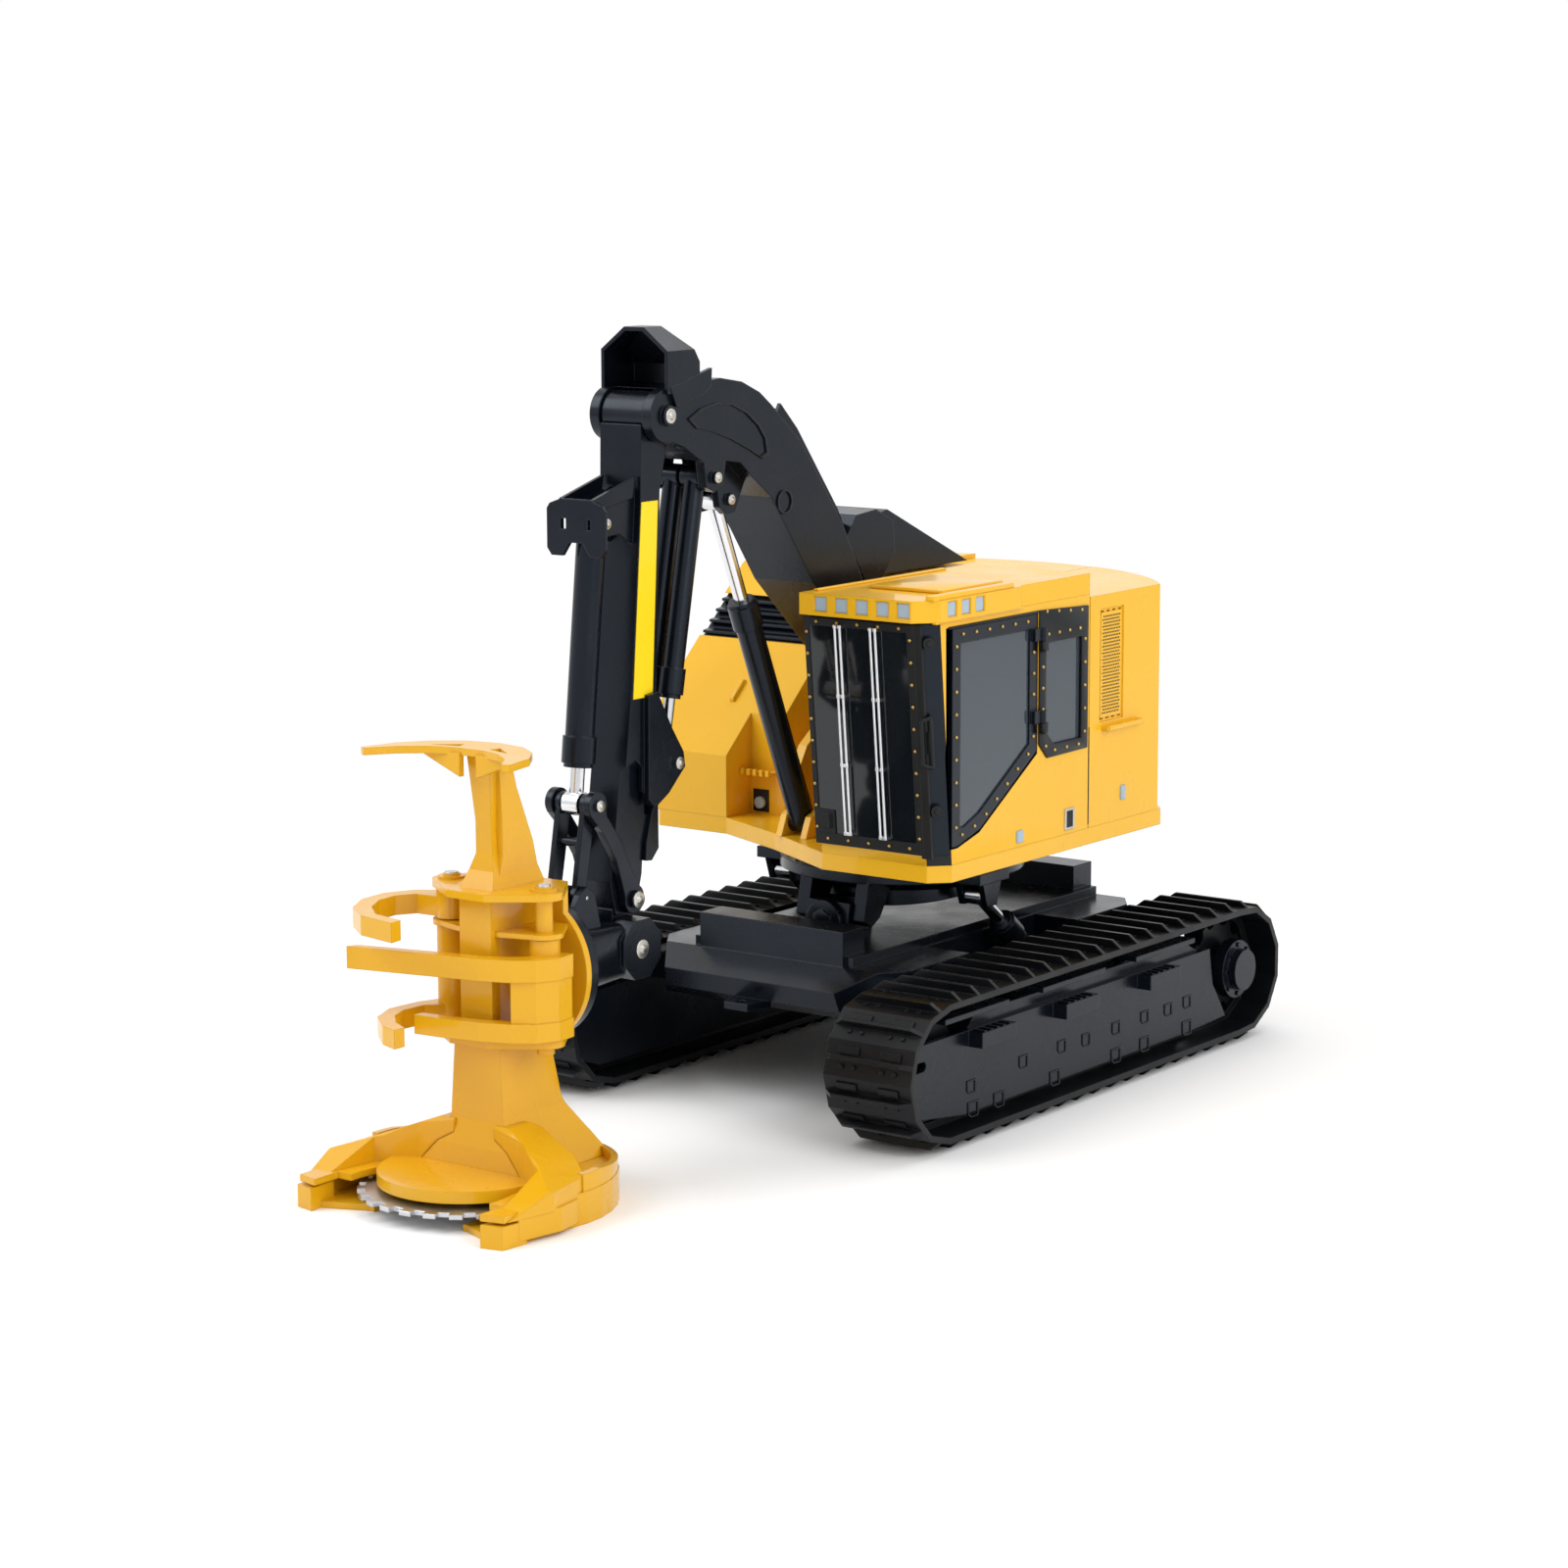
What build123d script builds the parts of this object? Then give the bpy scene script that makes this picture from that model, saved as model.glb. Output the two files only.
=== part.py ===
from build123d import *
from math import atan2, cos, hypot, pi, radians, sin
import os

# Tracked feller buncher, built as a 1:32 scale model.
# Forward is -Y, the cab is on the +X side and +Z is up. Millimetres.
# The undercarriage is drawn about the slew axis (x = 0, y = 0). At the end everything is
# shifted along Y, so that the origin lies under the middle of the whole model.

os.makedirs("parts", exist_ok=True)

# Tracks
NOMINAL_SHOE_PITCH = 6.75
TRACK_WHEEL_RADIUS = 12.93
SHOE_WIDTH = 21.0
SHOE_THICKNESS = 1.3
GROUSER_HEIGHT = 1.7
GROUSER_THICKNESS = 0.9
GROUSER_END_CHAMFER = 2.2
LINK_DEPTH = 1.6
WHEELBASE = 118.0
IDLER_Y = -60.0
SPROCKET_Y = IDLER_Y + WHEELBASE
TRACK_GAUGE = 85.4

# Undercarriage frame
FRAME_WIDTH = 13.0
FRAME_TOP = 25.0
FRAME_BOTTOM = 11.0
FRAME_FRONT_Y = IDLER_Y + 12.0
FRAME_REAR_Y = SPROCKET_Y - 14.0
IDLER_RADIUS = 10.8
IDLER_WIDTH = 8.0
SPROCKET_WIDTH = 5.0
SPROCKET_TIP_RADIUS = 10.8
SPROCKET_ROOT_RADIUS = 9.3
SPROCKET_TEETH = 12
HUB_RADIUS = 6.5
HUB_CAP_RADIUS = 4.6
HUB_OUT = 3.6
ROLLER_RADIUS = 3.1
ROLLER_COUNT = 9
ROLLER_LENGTH = 9.0
AXLE_RADIUS = 2.0
GUARD_X = 50.0
GUARD_THICKNESS = 1.2
STEP_OUT = 3.4
STEP_Z = 19.0
STEP_STARTS = (-49.0, -17.5, 16.0)
STEP_LENGTH = 12.5
STEP_HEIGHT = 3.2
CARBODY_TOP = 33.0
CARBODY_BOTTOM = 20.5
CARBODY_HALF_WIDTH = 18.4
CARBODY_END_Y = 48.0
END_BOX_TOP = 38.3
END_BOX_DEPTH = 7.5
APRON_Y = 56.0
APRON_TOP = 27.5
LEG_TOP = 21.8

# Levelling frame between undercarriage and house
TILT_Y = -24.0
TILT_Z = 37.0
TILT_PIN_RADIUS = 1.6
TRUNNION_HALF_WIDTH = 5.5
TILT_EAR_THICKNESS = 3.0
RING_RADIUS = 26.5
RING_TOP = 46.0
RING_THICKNESS = 2.4
TILT_CONE_RADIUS = 17.0
LEVEL_X = 25.0
LEVEL_FOOT_Y = 12.0
LEVEL_FOOT_Z = 24.5
LEVEL_EYE_Y = -8.0
LEVEL_EYE_Z = 40.5
LEVEL_BARREL_RADIUS = 2.5
LEVEL_ROD_RADIUS = 1.4

# House
SLEW_GAP = 0.3
SLEW_RING_RADIUS = 22.0
DECK_BOTTOM = 51.5
DECK_TOP = 55.0
DECK_STEP_X = -6.0
DECK_STEP_Y = -38.5
TAIL_RADIUS = 56.0
HOUSE_TOP = 104.0
HOUSE_FRONT_Y = 9.0
LEFT_SIDE_X = 44.4
RIGHT_SIDE_X = -50.5
PANEL_GAP = 0.3

# Cab
CAB_IN_X = 15.0
CAB_OUT_X = 44.4
CAB_FRONT_LOW_Y = -50.5
CAB_FRONT_TOP_Y = -55.0
CAB_REAR_Y = 4.3
CAB_WALL = 1.3
CAB_EAVE = 104.6
CAB_ROOF_TOP = CAB_EAVE + 4.4
CAB_CORNER = 3.6
VISOR_DEPTH = 2.4
CAB_DOOR_HINGE_Y = -14.9
DOOR_HINGE_OUT = 0.9
LAMP_SIZE = 3.3
LAMP_PITCH = 5.0

# Right-hand hood
HOOD_FRONT_Y = -29.6
HOOD_SEAM_Z = 68.4
HOOD_SLOPE = 0.91
HOOD_IN_X = -16.0
RECESS_X = -25.3
RECESS_DEPTH = 9.0
LOUVRE_LOW_Z = 90.0
LOUVRE_HIGH_Z = 98.5

# Boom, side view
BOOM_FOOT_Y, BOOM_FOOT_Z = -8.0, 66.0
BOOM_TIP_Y, BOOM_TIP_Z = -91.0, 146.0
BOOM_HALF_WIDTH = 7.5
BOOM_FOOT_HALF_WIDTH = 6.5
BOOM_PIN_RADIUS = 2.0
BOOM_HUB_RADIUS = 5.2
HOIST_FOOT_Y, HOIST_FOOT_Z = -36.5, 57.8
HOIST_EYE_Y, HOIST_EYE_Z = -66.8, 127.8
HOIST_HALF = 2.2
HOIST_BARREL_RADIUS = 2.7
HOIST_ROD_RADIUS = 1.45
HOIST_BARREL_LENGTH = 53.0

# Stick, side view
STICK_HALF_WIDTH = 5.0
STICK_FOOT_HALF_WIDTH = 3.6
STICK_NARROW_Z = 79.5
STICK_CYL_TOP_Y, STICK_CYL_TOP_Z = -76.0, 133.0
STICK_CYL_EYE_Y, STICK_CYL_EYE_Z = -87.0, 77.6
STICK_CYL_X = 2.6
STICK_CYL_RADIUS = 2.2
STICK_CYL_ROD_RADIUS = 1.1
STICK_CYL_LENGTH = 44.0

# Wrist linkage, side view
TILT_CYL_TOP_Y, TILT_CYL_TOP_Z = -105.0, 126.0
LINK_TOP_Y, LINK_TOP_Z = -110.9, 72.3
ROCKER_Y, ROCKER_Z = -99.9, 52.3
WRIST_LUG_Y, WRIST_LUG_Z = -114.3, 54.8
WRIST_Y, WRIST_Z = -100.7, 42.8
TILT_CYL_RADIUS = 2.85
TILT_CYL_ROD_RADIUS = 1.4
TILT_CYL_LENGTH = 47.0
LEVER_X = 4.75
LEVER_THICKNESS = 1.6
LINK_X = 3.05
LINK_THICKNESS = 1.2

# Felling head
HEAD_AXIS_Z = 42.7
HEAD_FACE_Y = -124.5
COLUMN_FRONT_Y = -141.0
COLUMN_HALF_WIDTH = 3.9
ARM_X = 11.4
ARM_Y = -134.5
ARM_PIN_RADIUS = 1.7
ARM_HUB_RADIUS = 3.0
ARM_EAR_RADIUS = 3.7
PLATE_TOP = 60.2
PLATE_LOW = 30.6
BASE_Y = -141.0
BASE_RADIUS = 26.5
SAW_Y = -144.0
SAW_RADIUS = 19.6
SAW_Z = 3.4
SAW_THICKNESS = 0.9
SAW_HUB_RADIUS = 3.0
SAW_TEETH = 26
COVER_LOW = 4.9
COVER_TOP = 6.2
BUTT_TOP = 7.2
HEAD_TIP_Y = -164.5
HORN_LOW = 85.6
HORN_TOP = 87.0

FIT = 0.3
PIN_FIT = 0.05


def side_face(points, x):
    """A closed outline of (y, z) points on the plane at x."""
    return Plane.YZ.offset(x) * make_face(Polyline(*points, close=True))


def side_plate(points, x0, x1, corner=0.0):
    """A plate seen from the side: an outline of (y, z) points from x0 to x1."""
    if corner:
        outline = FilletPolyline(*points, radius=corner, close=True)
    else:
        outline = Polyline(*points, close=True)
    return extrude(Plane.YZ.offset(x0) * make_face(outline), amount=x1 - x0)


def front_plate(points, y0, y1):
    """A plate seen from the front: an outline of (x, z) points from y0 back to y1."""
    return extrude(Plane.XZ.offset(-y1) * make_face(Polyline(*points, close=True)), amount=y1 - y0)


def plan_plate(points, z0, z1, corner=0.0):
    """A plate seen from above: an outline of (x, y) points from z0 up to z1."""
    if corner:
        outline = FilletPolyline(*points, radius=corner, close=True)
    else:
        outline = Polyline(*points, close=True)
    return extrude(Plane.XY.offset(z0) * make_face(outline), amount=z1 - z0)


def block(x0, x1, y0, y1, z0, z1):
    """A box between two corners."""
    return Pos((x0 + x1) / 2, (y0 + y1) / 2, (z0 + z1) / 2) * Box(x1 - x0, y1 - y0, z1 - z0)


def pin_x(y, z, radius, x0, x1):
    """A round bar along X."""
    return extrude(Plane.YZ.offset(x0) * Pos(y, z) * Circle(radius), amount=x1 - x0)


def pin_y(x, z, radius, y0, y1):
    """A round bar along Y."""
    return extrude(Plane.XZ.offset(-y1) * Pos(x, z) * Circle(radius), amount=y1 - y0)


def pin_z(x, y, radius, z0, z1):
    """A round bar along Z."""
    return extrude(Plane.XY.offset(z0) * Pos(x, y) * Circle(radius), amount=z1 - z0)


def bar_between(start, end, radius, from_start, to_end):
    """A round bar on the line from start to end, between two distances from start."""
    line = Vector(*end) - Vector(*start)
    plane = Plane(origin=Vector(*start) + line.normalized() * from_start, z_dir=line)
    return extrude(plane * Circle(radius), amount=to_end - from_start)


def distance(y0, z0, y1, z1):
    return hypot(y1 - y0, z1 - z0)


def both_sides(shape):
    """The shape and its mirror image across x = 0, as one node."""
    return Compound(shape.solids() + mirror(shape, about=Plane.YZ).solids())


def fuse_all(shapes):
    result = shapes[0]
    for shape in shapes[1:]:
        result = result + shape
    return result


nodes = {}

# Track loop: link pitch line, wheels and the place of each shoe
SHOE_COUNT = round((2 * WHEELBASE + 2 * pi * TRACK_WHEEL_RADIUS) / NOMINAL_SHOE_PITCH)
SHOE_PITCH = (2 * WHEELBASE + 2 * pi * TRACK_WHEEL_RADIUS) / SHOE_COUNT
PITCH_RADIUS = TRACK_WHEEL_RADIUS
AXLE_Z = PITCH_RADIUS + SHOE_THICKNESS + GROUSER_HEIGHT
TRACK_X = TRACK_GAUGE / 2
WRAP = pi * PITCH_RADIUS


def loop_point(run, out):
    """The (y, z) point at a run along the pitch line, moved outwards, and its angle."""
    run = run % (SHOE_COUNT * SHOE_PITCH)
    if run < WHEELBASE:
        return IDLER_Y + run, AXLE_Z + PITCH_RADIUS + out, 0.0
    run -= WHEELBASE
    if run < WRAP:
        turn = run / PITCH_RADIUS
        reach = PITCH_RADIUS + out
        return SPROCKET_Y + reach * sin(turn), AXLE_Z + reach * cos(turn), -turn
    run -= WRAP
    if run < WHEELBASE:
        return SPROCKET_Y - run, AXLE_Z - PITCH_RADIUS - out, -pi
    turn = (run - WHEELBASE) / PITCH_RADIUS
    reach = PITCH_RADIUS + out
    return IDLER_Y - reach * sin(turn), AXLE_Z - reach * cos(turn), -pi - turn


def track_loop(x):
    """One fixed loop: a band of flat shoes, each with a single grouser."""
    half = SHOE_WIDTH / 2
    outer = [loop_point(i * SHOE_PITCH, SHOE_THICKNESS)[:2] for i in range(SHOE_COUNT)]
    inner = [loop_point(i * SHOE_PITCH, 0.0)[:2] for i in range(SHOE_COUNT)]
    band = side_plate(outer, x - half, x + half) - side_plate(inner, x - half, x + half)
    chain_in = [loop_point(i * SHOE_PITCH, -LINK_DEPTH)[:2] for i in range(SHOE_COUNT)]
    chain = side_plate(inner, x - 3.4, x + 3.4) - side_plate(chain_in, x - 3.4, x + 3.4)
    shoes = [band, chain]
    for i in range(SHOE_COUNT):
        y, z, turn = loop_point((i + 0.5) * SHOE_PITCH, 0.0)
        tip = GROUSER_HEIGHT
        sink = SHOE_THICKNESS * 0.5
        ridge = [(-half, -sink), (half, -sink), (half, tip - GROUSER_END_CHAMFER * 0.75),
                 (half - GROUSER_END_CHAMFER, tip), (-half + GROUSER_END_CHAMFER, tip),
                 (-half, tip - GROUSER_END_CHAMFER * 0.75)]
        seat_y, seat_z, _ = loop_point((i + 0.5) * SHOE_PITCH, SHOE_THICKNESS)
        if turn % pi:
            chord = cos(SHOE_PITCH / 2 / PITCH_RADIUS)
            reach = (PITCH_RADIUS + SHOE_THICKNESS) * chord
            centre_y = SPROCKET_Y if turn > -pi else IDLER_Y
            seat_y = centre_y + (seat_y - centre_y) * reach / (PITCH_RADIUS + SHOE_THICKNESS)
            seat_z = AXLE_Z + (seat_z - AXLE_Z) * reach / (PITCH_RADIUS + SHOE_THICKNESS)
        plane = Plane(origin=(x, seat_y, seat_z), x_dir=(1, 0, 0),
                      z_dir=(0, -cos(turn), -sin(turn)))
        face = plane.offset(-GROUSER_THICKNESS / 2) * make_face(Polyline(*ridge, close=True))
        shoes.append(extrude(face, amount=GROUSER_THICKNESS))
    return shoes[0].fuse(*shoes[1:])


left_track = track_loop(TRACK_X)

nodes["left_track"] = left_track
nodes["right_track"] = mirror(left_track, about=Plane.YZ)

# Track frame: a box beam with a fork for the idler and an axle for the sprocket
FRAME_IN_X = TRACK_X - FRAME_WIDTH / 2
FRAME_OUT_X = GUARD_X - GUARD_THICKNESS
track_frame = side_plate([(FRAME_FRONT_Y, FRAME_BOTTOM + 3), (FRAME_FRONT_Y + 4, FRAME_BOTTOM),
                          (FRAME_REAR_Y - 4, FRAME_BOTTOM), (FRAME_REAR_Y, FRAME_BOTTOM + 4),
                          (FRAME_REAR_Y, FRAME_TOP - 3), (FRAME_REAR_Y - 6, FRAME_TOP),
                          (FRAME_FRONT_Y + 3, FRAME_TOP), (FRAME_FRONT_Y, FRAME_TOP - 3)],
                         FRAME_IN_X, FRAME_OUT_X)
fork = []
for wheel_y, reach_y, half in ((IDLER_Y, FRAME_FRONT_Y + 2, IDLER_WIDTH / 2),
                               (SPROCKET_Y, FRAME_REAR_Y - 2, SPROCKET_WIDTH / 2)):
    low_y, high_y = min(wheel_y, reach_y), max(wheel_y, reach_y)
    fork.append(block(FRAME_IN_X, TRACK_X - half - 0.4, low_y, high_y, AXLE_Z - 3, AXLE_Z + 3))
    if wheel_y == IDLER_Y:
        fork.append(block(TRACK_X + half + 0.4, FRAME_OUT_X, low_y, high_y, AXLE_Z - 3, AXLE_Z + 3))
    axle_end = FRAME_OUT_X - 0.4 if wheel_y == IDLER_Y else TRACK_X + half
    fork.append(pin_x(wheel_y, AXLE_Z, AXLE_RADIUS, FRAME_IN_X, axle_end))
for post_y in (FRAME_FRONT_Y + 24.0, (FRAME_FRONT_Y + FRAME_REAR_Y) / 2 + 6.0, FRAME_REAR_Y - 12.0):
    fork.append(block(TRACK_X - 2.4, TRACK_X + 2.4, post_y, post_y + 10,
                      FRAME_TOP - 0.5, AXLE_Z + PITCH_RADIUS - LINK_DEPTH - FIT))
INNER_PLATE = 1.0
fork.append(side_plate([(IDLER_Y - 8.4, 21.0), (IDLER_Y - 9.6, 14.0), (IDLER_Y - 6.6, 7.4), (IDLER_Y, 5.0),
                        (FRAME_REAR_Y - 2.0, 5.0), (FRAME_REAR_Y, 7.0), (FRAME_REAR_Y, FRAME_BOTTOM + 8),
                        (FRAME_FRONT_Y, FRAME_TOP - 3)], FRAME_IN_X, FRAME_IN_X + INNER_PLATE))
nodes["track_frames"] = both_sides(fuse_all([track_frame] + fork))

guard = side_plate([(IDLER_Y - 10.2, 22.4), (IDLER_Y - 8.6, 7.6), (IDLER_Y + 9.5, 5.2), (SPROCKET_Y - 21.5, 5.2),
                    (SPROCKET_Y - 4.0, 6.0), (SPROCKET_Y - 9.8, 14.2), (SPROCKET_Y - 11.4, 22.4)],
                   FRAME_OUT_X, GUARD_X)
slot = SlotOverall(4.2, 2.0)
guard -= extrude(Plane.YZ.offset(FRAME_OUT_X) * Pos(IDLER_Y - 6.2, 18.0) * slot, amount=GUARD_THICKNESS)
steps = [block(GUARD_X - 0.3, GUARD_X + STEP_OUT, y, y + STEP_LENGTH, STEP_Z, STEP_Z + STEP_HEIGHT)
         for y in STEP_STARTS]
nodes["guard_plates"] = both_sides(fuse_all([guard] + steps))

idler = pin_x(IDLER_Y, AXLE_Z, IDLER_RADIUS, TRACK_X - IDLER_WIDTH / 2, TRACK_X + IDLER_WIDTH / 2)
nodes["idlers"] = both_sides(idler - pin_x(IDLER_Y, AXLE_Z, AXLE_RADIUS + PIN_FIT, TRACK_X - 10, TRACK_X + 10))

teeth = []
for i in range(SPROCKET_TEETH):
    for lean, reach in ((-0.30, SPROCKET_ROOT_RADIUS), (-0.14, SPROCKET_TIP_RADIUS),
                        (0.14, SPROCKET_TIP_RADIUS), (0.30, SPROCKET_ROOT_RADIUS)):
        turn = 2 * pi * (i + lean) / SPROCKET_TEETH
        teeth.append((SPROCKET_Y + reach * cos(turn), AXLE_Z + reach * sin(turn)))
sprocket = side_plate(teeth, TRACK_X - SPROCKET_WIDTH / 2, TRACK_X + SPROCKET_WIDTH / 2)
sprocket -= pin_x(SPROCKET_Y, AXLE_Z, AXLE_RADIUS + PIN_FIT, TRACK_X - 10, TRACK_X + 10)
nodes["sprockets"] = both_sides(sprocket)

hub_x = GUARD_X - 1.0
hub = pin_x(SPROCKET_Y, AXLE_Z, HUB_RADIUS, hub_x - 1.0, hub_x + 1.6)
hub += pin_x(SPROCKET_Y, AXLE_Z, HUB_CAP_RADIUS, hub_x + 1.6, hub_x + HUB_OUT)
hub += pin_x(SPROCKET_Y, AXLE_Z, HUB_CAP_RADIUS - 0.2, TRACK_X + SPROCKET_WIDTH / 2, hub_x)
nodes["drive_hubs"] = both_sides(hub)

first, last = FRAME_FRONT_Y + 5, FRAME_REAR_Y - 5
rail_top = AXLE_Z - PITCH_RADIUS + LINK_DEPTH
rollers = [pin_x(first + (last - first) * i / (ROLLER_COUNT - 1), rail_top + ROLLER_RADIUS + 0.1,
                 ROLLER_RADIUS, TRACK_X - ROLLER_LENGTH / 2, TRACK_X + ROLLER_LENGTH / 2)
           for i in range(ROLLER_COUNT)]
nodes["rollers"] = both_sides(Compound(rollers))

# Carbody: an H-shaped box between the track frames, with a box on each end
end = CARBODY_END_Y
WAIST_X = TRACK_X - SHOE_WIDTH / 2 - 0.7
legs = side_plate([(-APRON_Y, APRON_TOP), (-APRON_Y + 1, APRON_TOP - 4),
                   (-end - 1, CARBODY_BOTTOM), (end + 1, CARBODY_BOTTOM),
                   (APRON_Y - 1, APRON_TOP - 4), (APRON_Y, APRON_TOP),
                   (end, 31.0), (-end, 31.0)],
                  -WAIST_X, WAIST_X)
legs -= block(20.5, 40.0, -21.0, 21.0, LEG_TOP, 40.0)
legs -= block(-40.0, -20.5, -21.0, 21.0, LEG_TOP, 40.0)
for side in (1, -1):
    corner = plan_plate([(side * 21, -APRON_Y - 1), (side * 40, -APRON_Y - 1), (side * 40, -42.0),
                         (side * WAIST_X, -42.0)], 15, 45)
    legs -= corner
    legs -= mirror(corner, about=Plane.XZ)
leg_end = TRACK_X - FRAME_WIDTH / 2
beams = [block(-leg_end, leg_end, -40.0, -24.0, CARBODY_BOTTOM, 26.0),
         block(-leg_end, leg_end, 24.0, 40.0, CARBODY_BOTTOM, 26.0)]
middle = block(-CARBODY_HALF_WIDTH - 2, CARBODY_HALF_WIDTH + 2, -end + 1, end - 1, 30.0, CARBODY_TOP)
ends = [block(-CARBODY_HALF_WIDTH, CARBODY_HALF_WIDTH, -end, -end + END_BOX_DEPTH, 30, END_BOX_TOP)]
ends.append(mirror(ends[0], about=Plane.XZ))
trunnion = side_plate([(TILT_Y - 5, CARBODY_TOP - 1), (TILT_Y + 5, CARBODY_TOP - 1),
                       (TILT_Y + 3.4, TILT_Z + 2.4), (TILT_Y - 3.4, TILT_Z + 2.4)],
                      -TRUNNION_HALF_WIDTH, TRUNNION_HALF_WIDTH)
trunnion -= pin_x(TILT_Y, TILT_Z, TILT_PIN_RADIUS + PIN_FIT, -8, 8)
level_feet = []
LEVEL_CHEEK = 1.4
LEVEL_HALF = 2.0
for side in (1, -1):
    x = side * LEVEL_X
    for inner in (x - LEVEL_HALF - 0.2 - LEVEL_CHEEK, x + LEVEL_HALF + 0.2):
        cheek = side_plate([(LEVEL_FOOT_Y - 4, LEG_TOP - 0.5), (LEVEL_FOOT_Y + 5, LEG_TOP - 0.5),
                            (LEVEL_FOOT_Y + 2.2, LEVEL_FOOT_Z + 2.2), (LEVEL_FOOT_Y - 2.0, LEVEL_FOOT_Z + 2.2)],
                           inner, inner + LEVEL_CHEEK)
        level_feet.append(cheek)
    level_feet.append(pin_x(LEVEL_FOOT_Y, LEVEL_FOOT_Z, 1.0, x - 3, x + 3))
# Tow hooks front and rear: a plate under each apron with a hole for a shackle
TOW_HOLE_RADIUS = 1.1
hooks = []
for side in (1, -1):
    y = side * (APRON_Y + 2.2)
    tongue = plan_plate([(-4.5, y - side * 4.2), (4.5, y - side * 4.2), (3.0, y + side * 2.0),
                         (-3.0, y + side * 2.0)], APRON_TOP - 5.6, APRON_TOP - 4.1)
    hooks.append(tongue - pin_z(0, y, TOW_HOLE_RADIUS, 15, 30))
nodes["carbody"] = fuse_all([legs, middle, trunnion] + beams + ends + level_feet + hooks)


def ram(foot, eye, xs, barrel_radius, rod_radius, barrel_length, half_width, pin_radius, stroke_in):
    """Barrels and rods of like cylinders at several x places, from their foot to their eye."""
    barrels, rods = [], []
    length = distance(*foot, *eye)
    knuckle = pin_radius + 1.1
    bore_start = knuckle + 2.0
    for x in xs:
        start, finish = (x, *foot), (x, *eye)
        barrel = bar_between(start, finish, barrel_radius, 0.5, barrel_length)
        barrel += bar_between(start, finish, barrel_radius + 0.45, barrel_length - 6, barrel_length - 0.8)
        barrel -= bar_between(start, finish, rod_radius + PIN_FIT, bore_start, barrel_length + 1)
        barrel -= pin_x(*foot, knuckle + 0.8, x - 9, x - half_width)
        barrel -= pin_x(*foot, knuckle + 0.8, x + half_width, x + 9)
        barrel += pin_x(*foot, knuckle, x - half_width, x + half_width)
        barrel -= pin_x(*foot, pin_radius + PIN_FIT, x - 9, x + 9)
        barrels.append(barrel)
        rod = bar_between(start, finish, rod_radius, bore_start + stroke_in + 0.5, length - 0.6)
        rod += pin_x(*eye, knuckle, x - half_width, x + half_width)
        rods.append(rod)
    if len(xs) == 1:
        return barrels[0], rods[0]
    return Compound(children=barrels), Compound(children=rods)


# Levelling frame: it tips on the front trunnion and carries the slewing ring
ring = pin_z(0, 0, RING_RADIUS, RING_TOP - RING_THICKNESS, RING_TOP)
cone_height = 4.2
cone = Pos(0, 0, RING_TOP - RING_THICKNESS - cone_height / 2) * Cone(TILT_CONE_RADIUS, RING_RADIUS - 5,
                                                                    cone_height)
ears = []
for side in (1, -1):
    x0 = side * (TRUNNION_HALF_WIDTH + 0.3)
    x1 = x0 + side * TILT_EAR_THICKNESS
    ear = side_plate([(TILT_Y - 3.0, TILT_Z - 1.2), (TILT_Y, TILT_Z - 2.8), (TILT_Y + 3.0, TILT_Z - 1.2),
                      (TILT_Y + 9.0, RING_TOP - 1.5), (TILT_Y - 1.0, RING_TOP - 1.5)],
                     min(x0, x1), max(x0, x1))
    ears.append(ear)
tilt_pin = pin_x(TILT_Y, TILT_Z, TILT_PIN_RADIUS, -TRUNNION_HALF_WIDTH - 2, TRUNNION_HALF_WIDTH + 2)
eye_lugs = []
for side in (1, -1):
    for inner in (side * LEVEL_X - LEVEL_HALF - 0.2 - LEVEL_CHEEK, side * LEVEL_X + LEVEL_HALF + 0.2):
        lug = side_plate([(LEVEL_EYE_Y - 4, RING_TOP - 1.0), (LEVEL_EYE_Y + 4, RING_TOP - 1.0),
                          (LEVEL_EYE_Y + 1.8, LEVEL_EYE_Z - 2.0), (LEVEL_EYE_Y - 1.8, LEVEL_EYE_Z - 2.0)],
                         inner, inner + LEVEL_CHEEK)
        eye_lugs.append(lug)
side_ears = [block(side * LEVEL_X - 4.2, side * LEVEL_X + 4.2, LEVEL_EYE_Y - 5.5, LEVEL_EYE_Y + 5.5,
                   RING_TOP - RING_THICKNESS, RING_TOP) for side in (1, -1)]
nodes["levelling_frame"] = fuse_all([ring, cone, tilt_pin] + ears + side_ears + eye_lugs)
level_barrels, level_rods = ram((LEVEL_FOOT_Y, LEVEL_FOOT_Z), (LEVEL_EYE_Y, LEVEL_EYE_Z), (LEVEL_X, -LEVEL_X),
                                LEVEL_BARREL_RADIUS, LEVEL_ROD_RADIUS, 14.5, LEVEL_HALF, 1.0, 2.2)
nodes["level_cylinder_barrels"] = level_barrels
nodes["level_cylinder_rods"] = level_rods

# House: deck, engine house, right-hand hood and left-hand compartment
nodes["slewing_ring"] = pin_z(0, 0, SLEW_RING_RADIUS, RING_TOP + SLEW_GAP, DECK_BOTTOM)


def tail_outline(grow, front_y, left_x, right_x):
    """Plan outline with a round tail about the slew axis, as (x, y) points."""
    reach = TAIL_RADIUS + grow
    left_y = (reach ** 2 - left_x ** 2) ** 0.5
    right_y = (reach ** 2 - right_x ** 2) ** 0.5
    turn = (atan2(left_y, left_x) + atan2(right_y, right_x)) / 2
    arc_middle = (reach * cos(turn), reach * sin(turn))
    lines = [Line((left_x, left_y), (left_x, front_y)), Line((left_x, front_y), (right_x, front_y)),
             Line((right_x, front_y), (right_x, right_y)),
             ThreePointArc((right_x, right_y), arc_middle, (left_x, left_y))]
    return make_face(Wire(lines))


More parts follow.
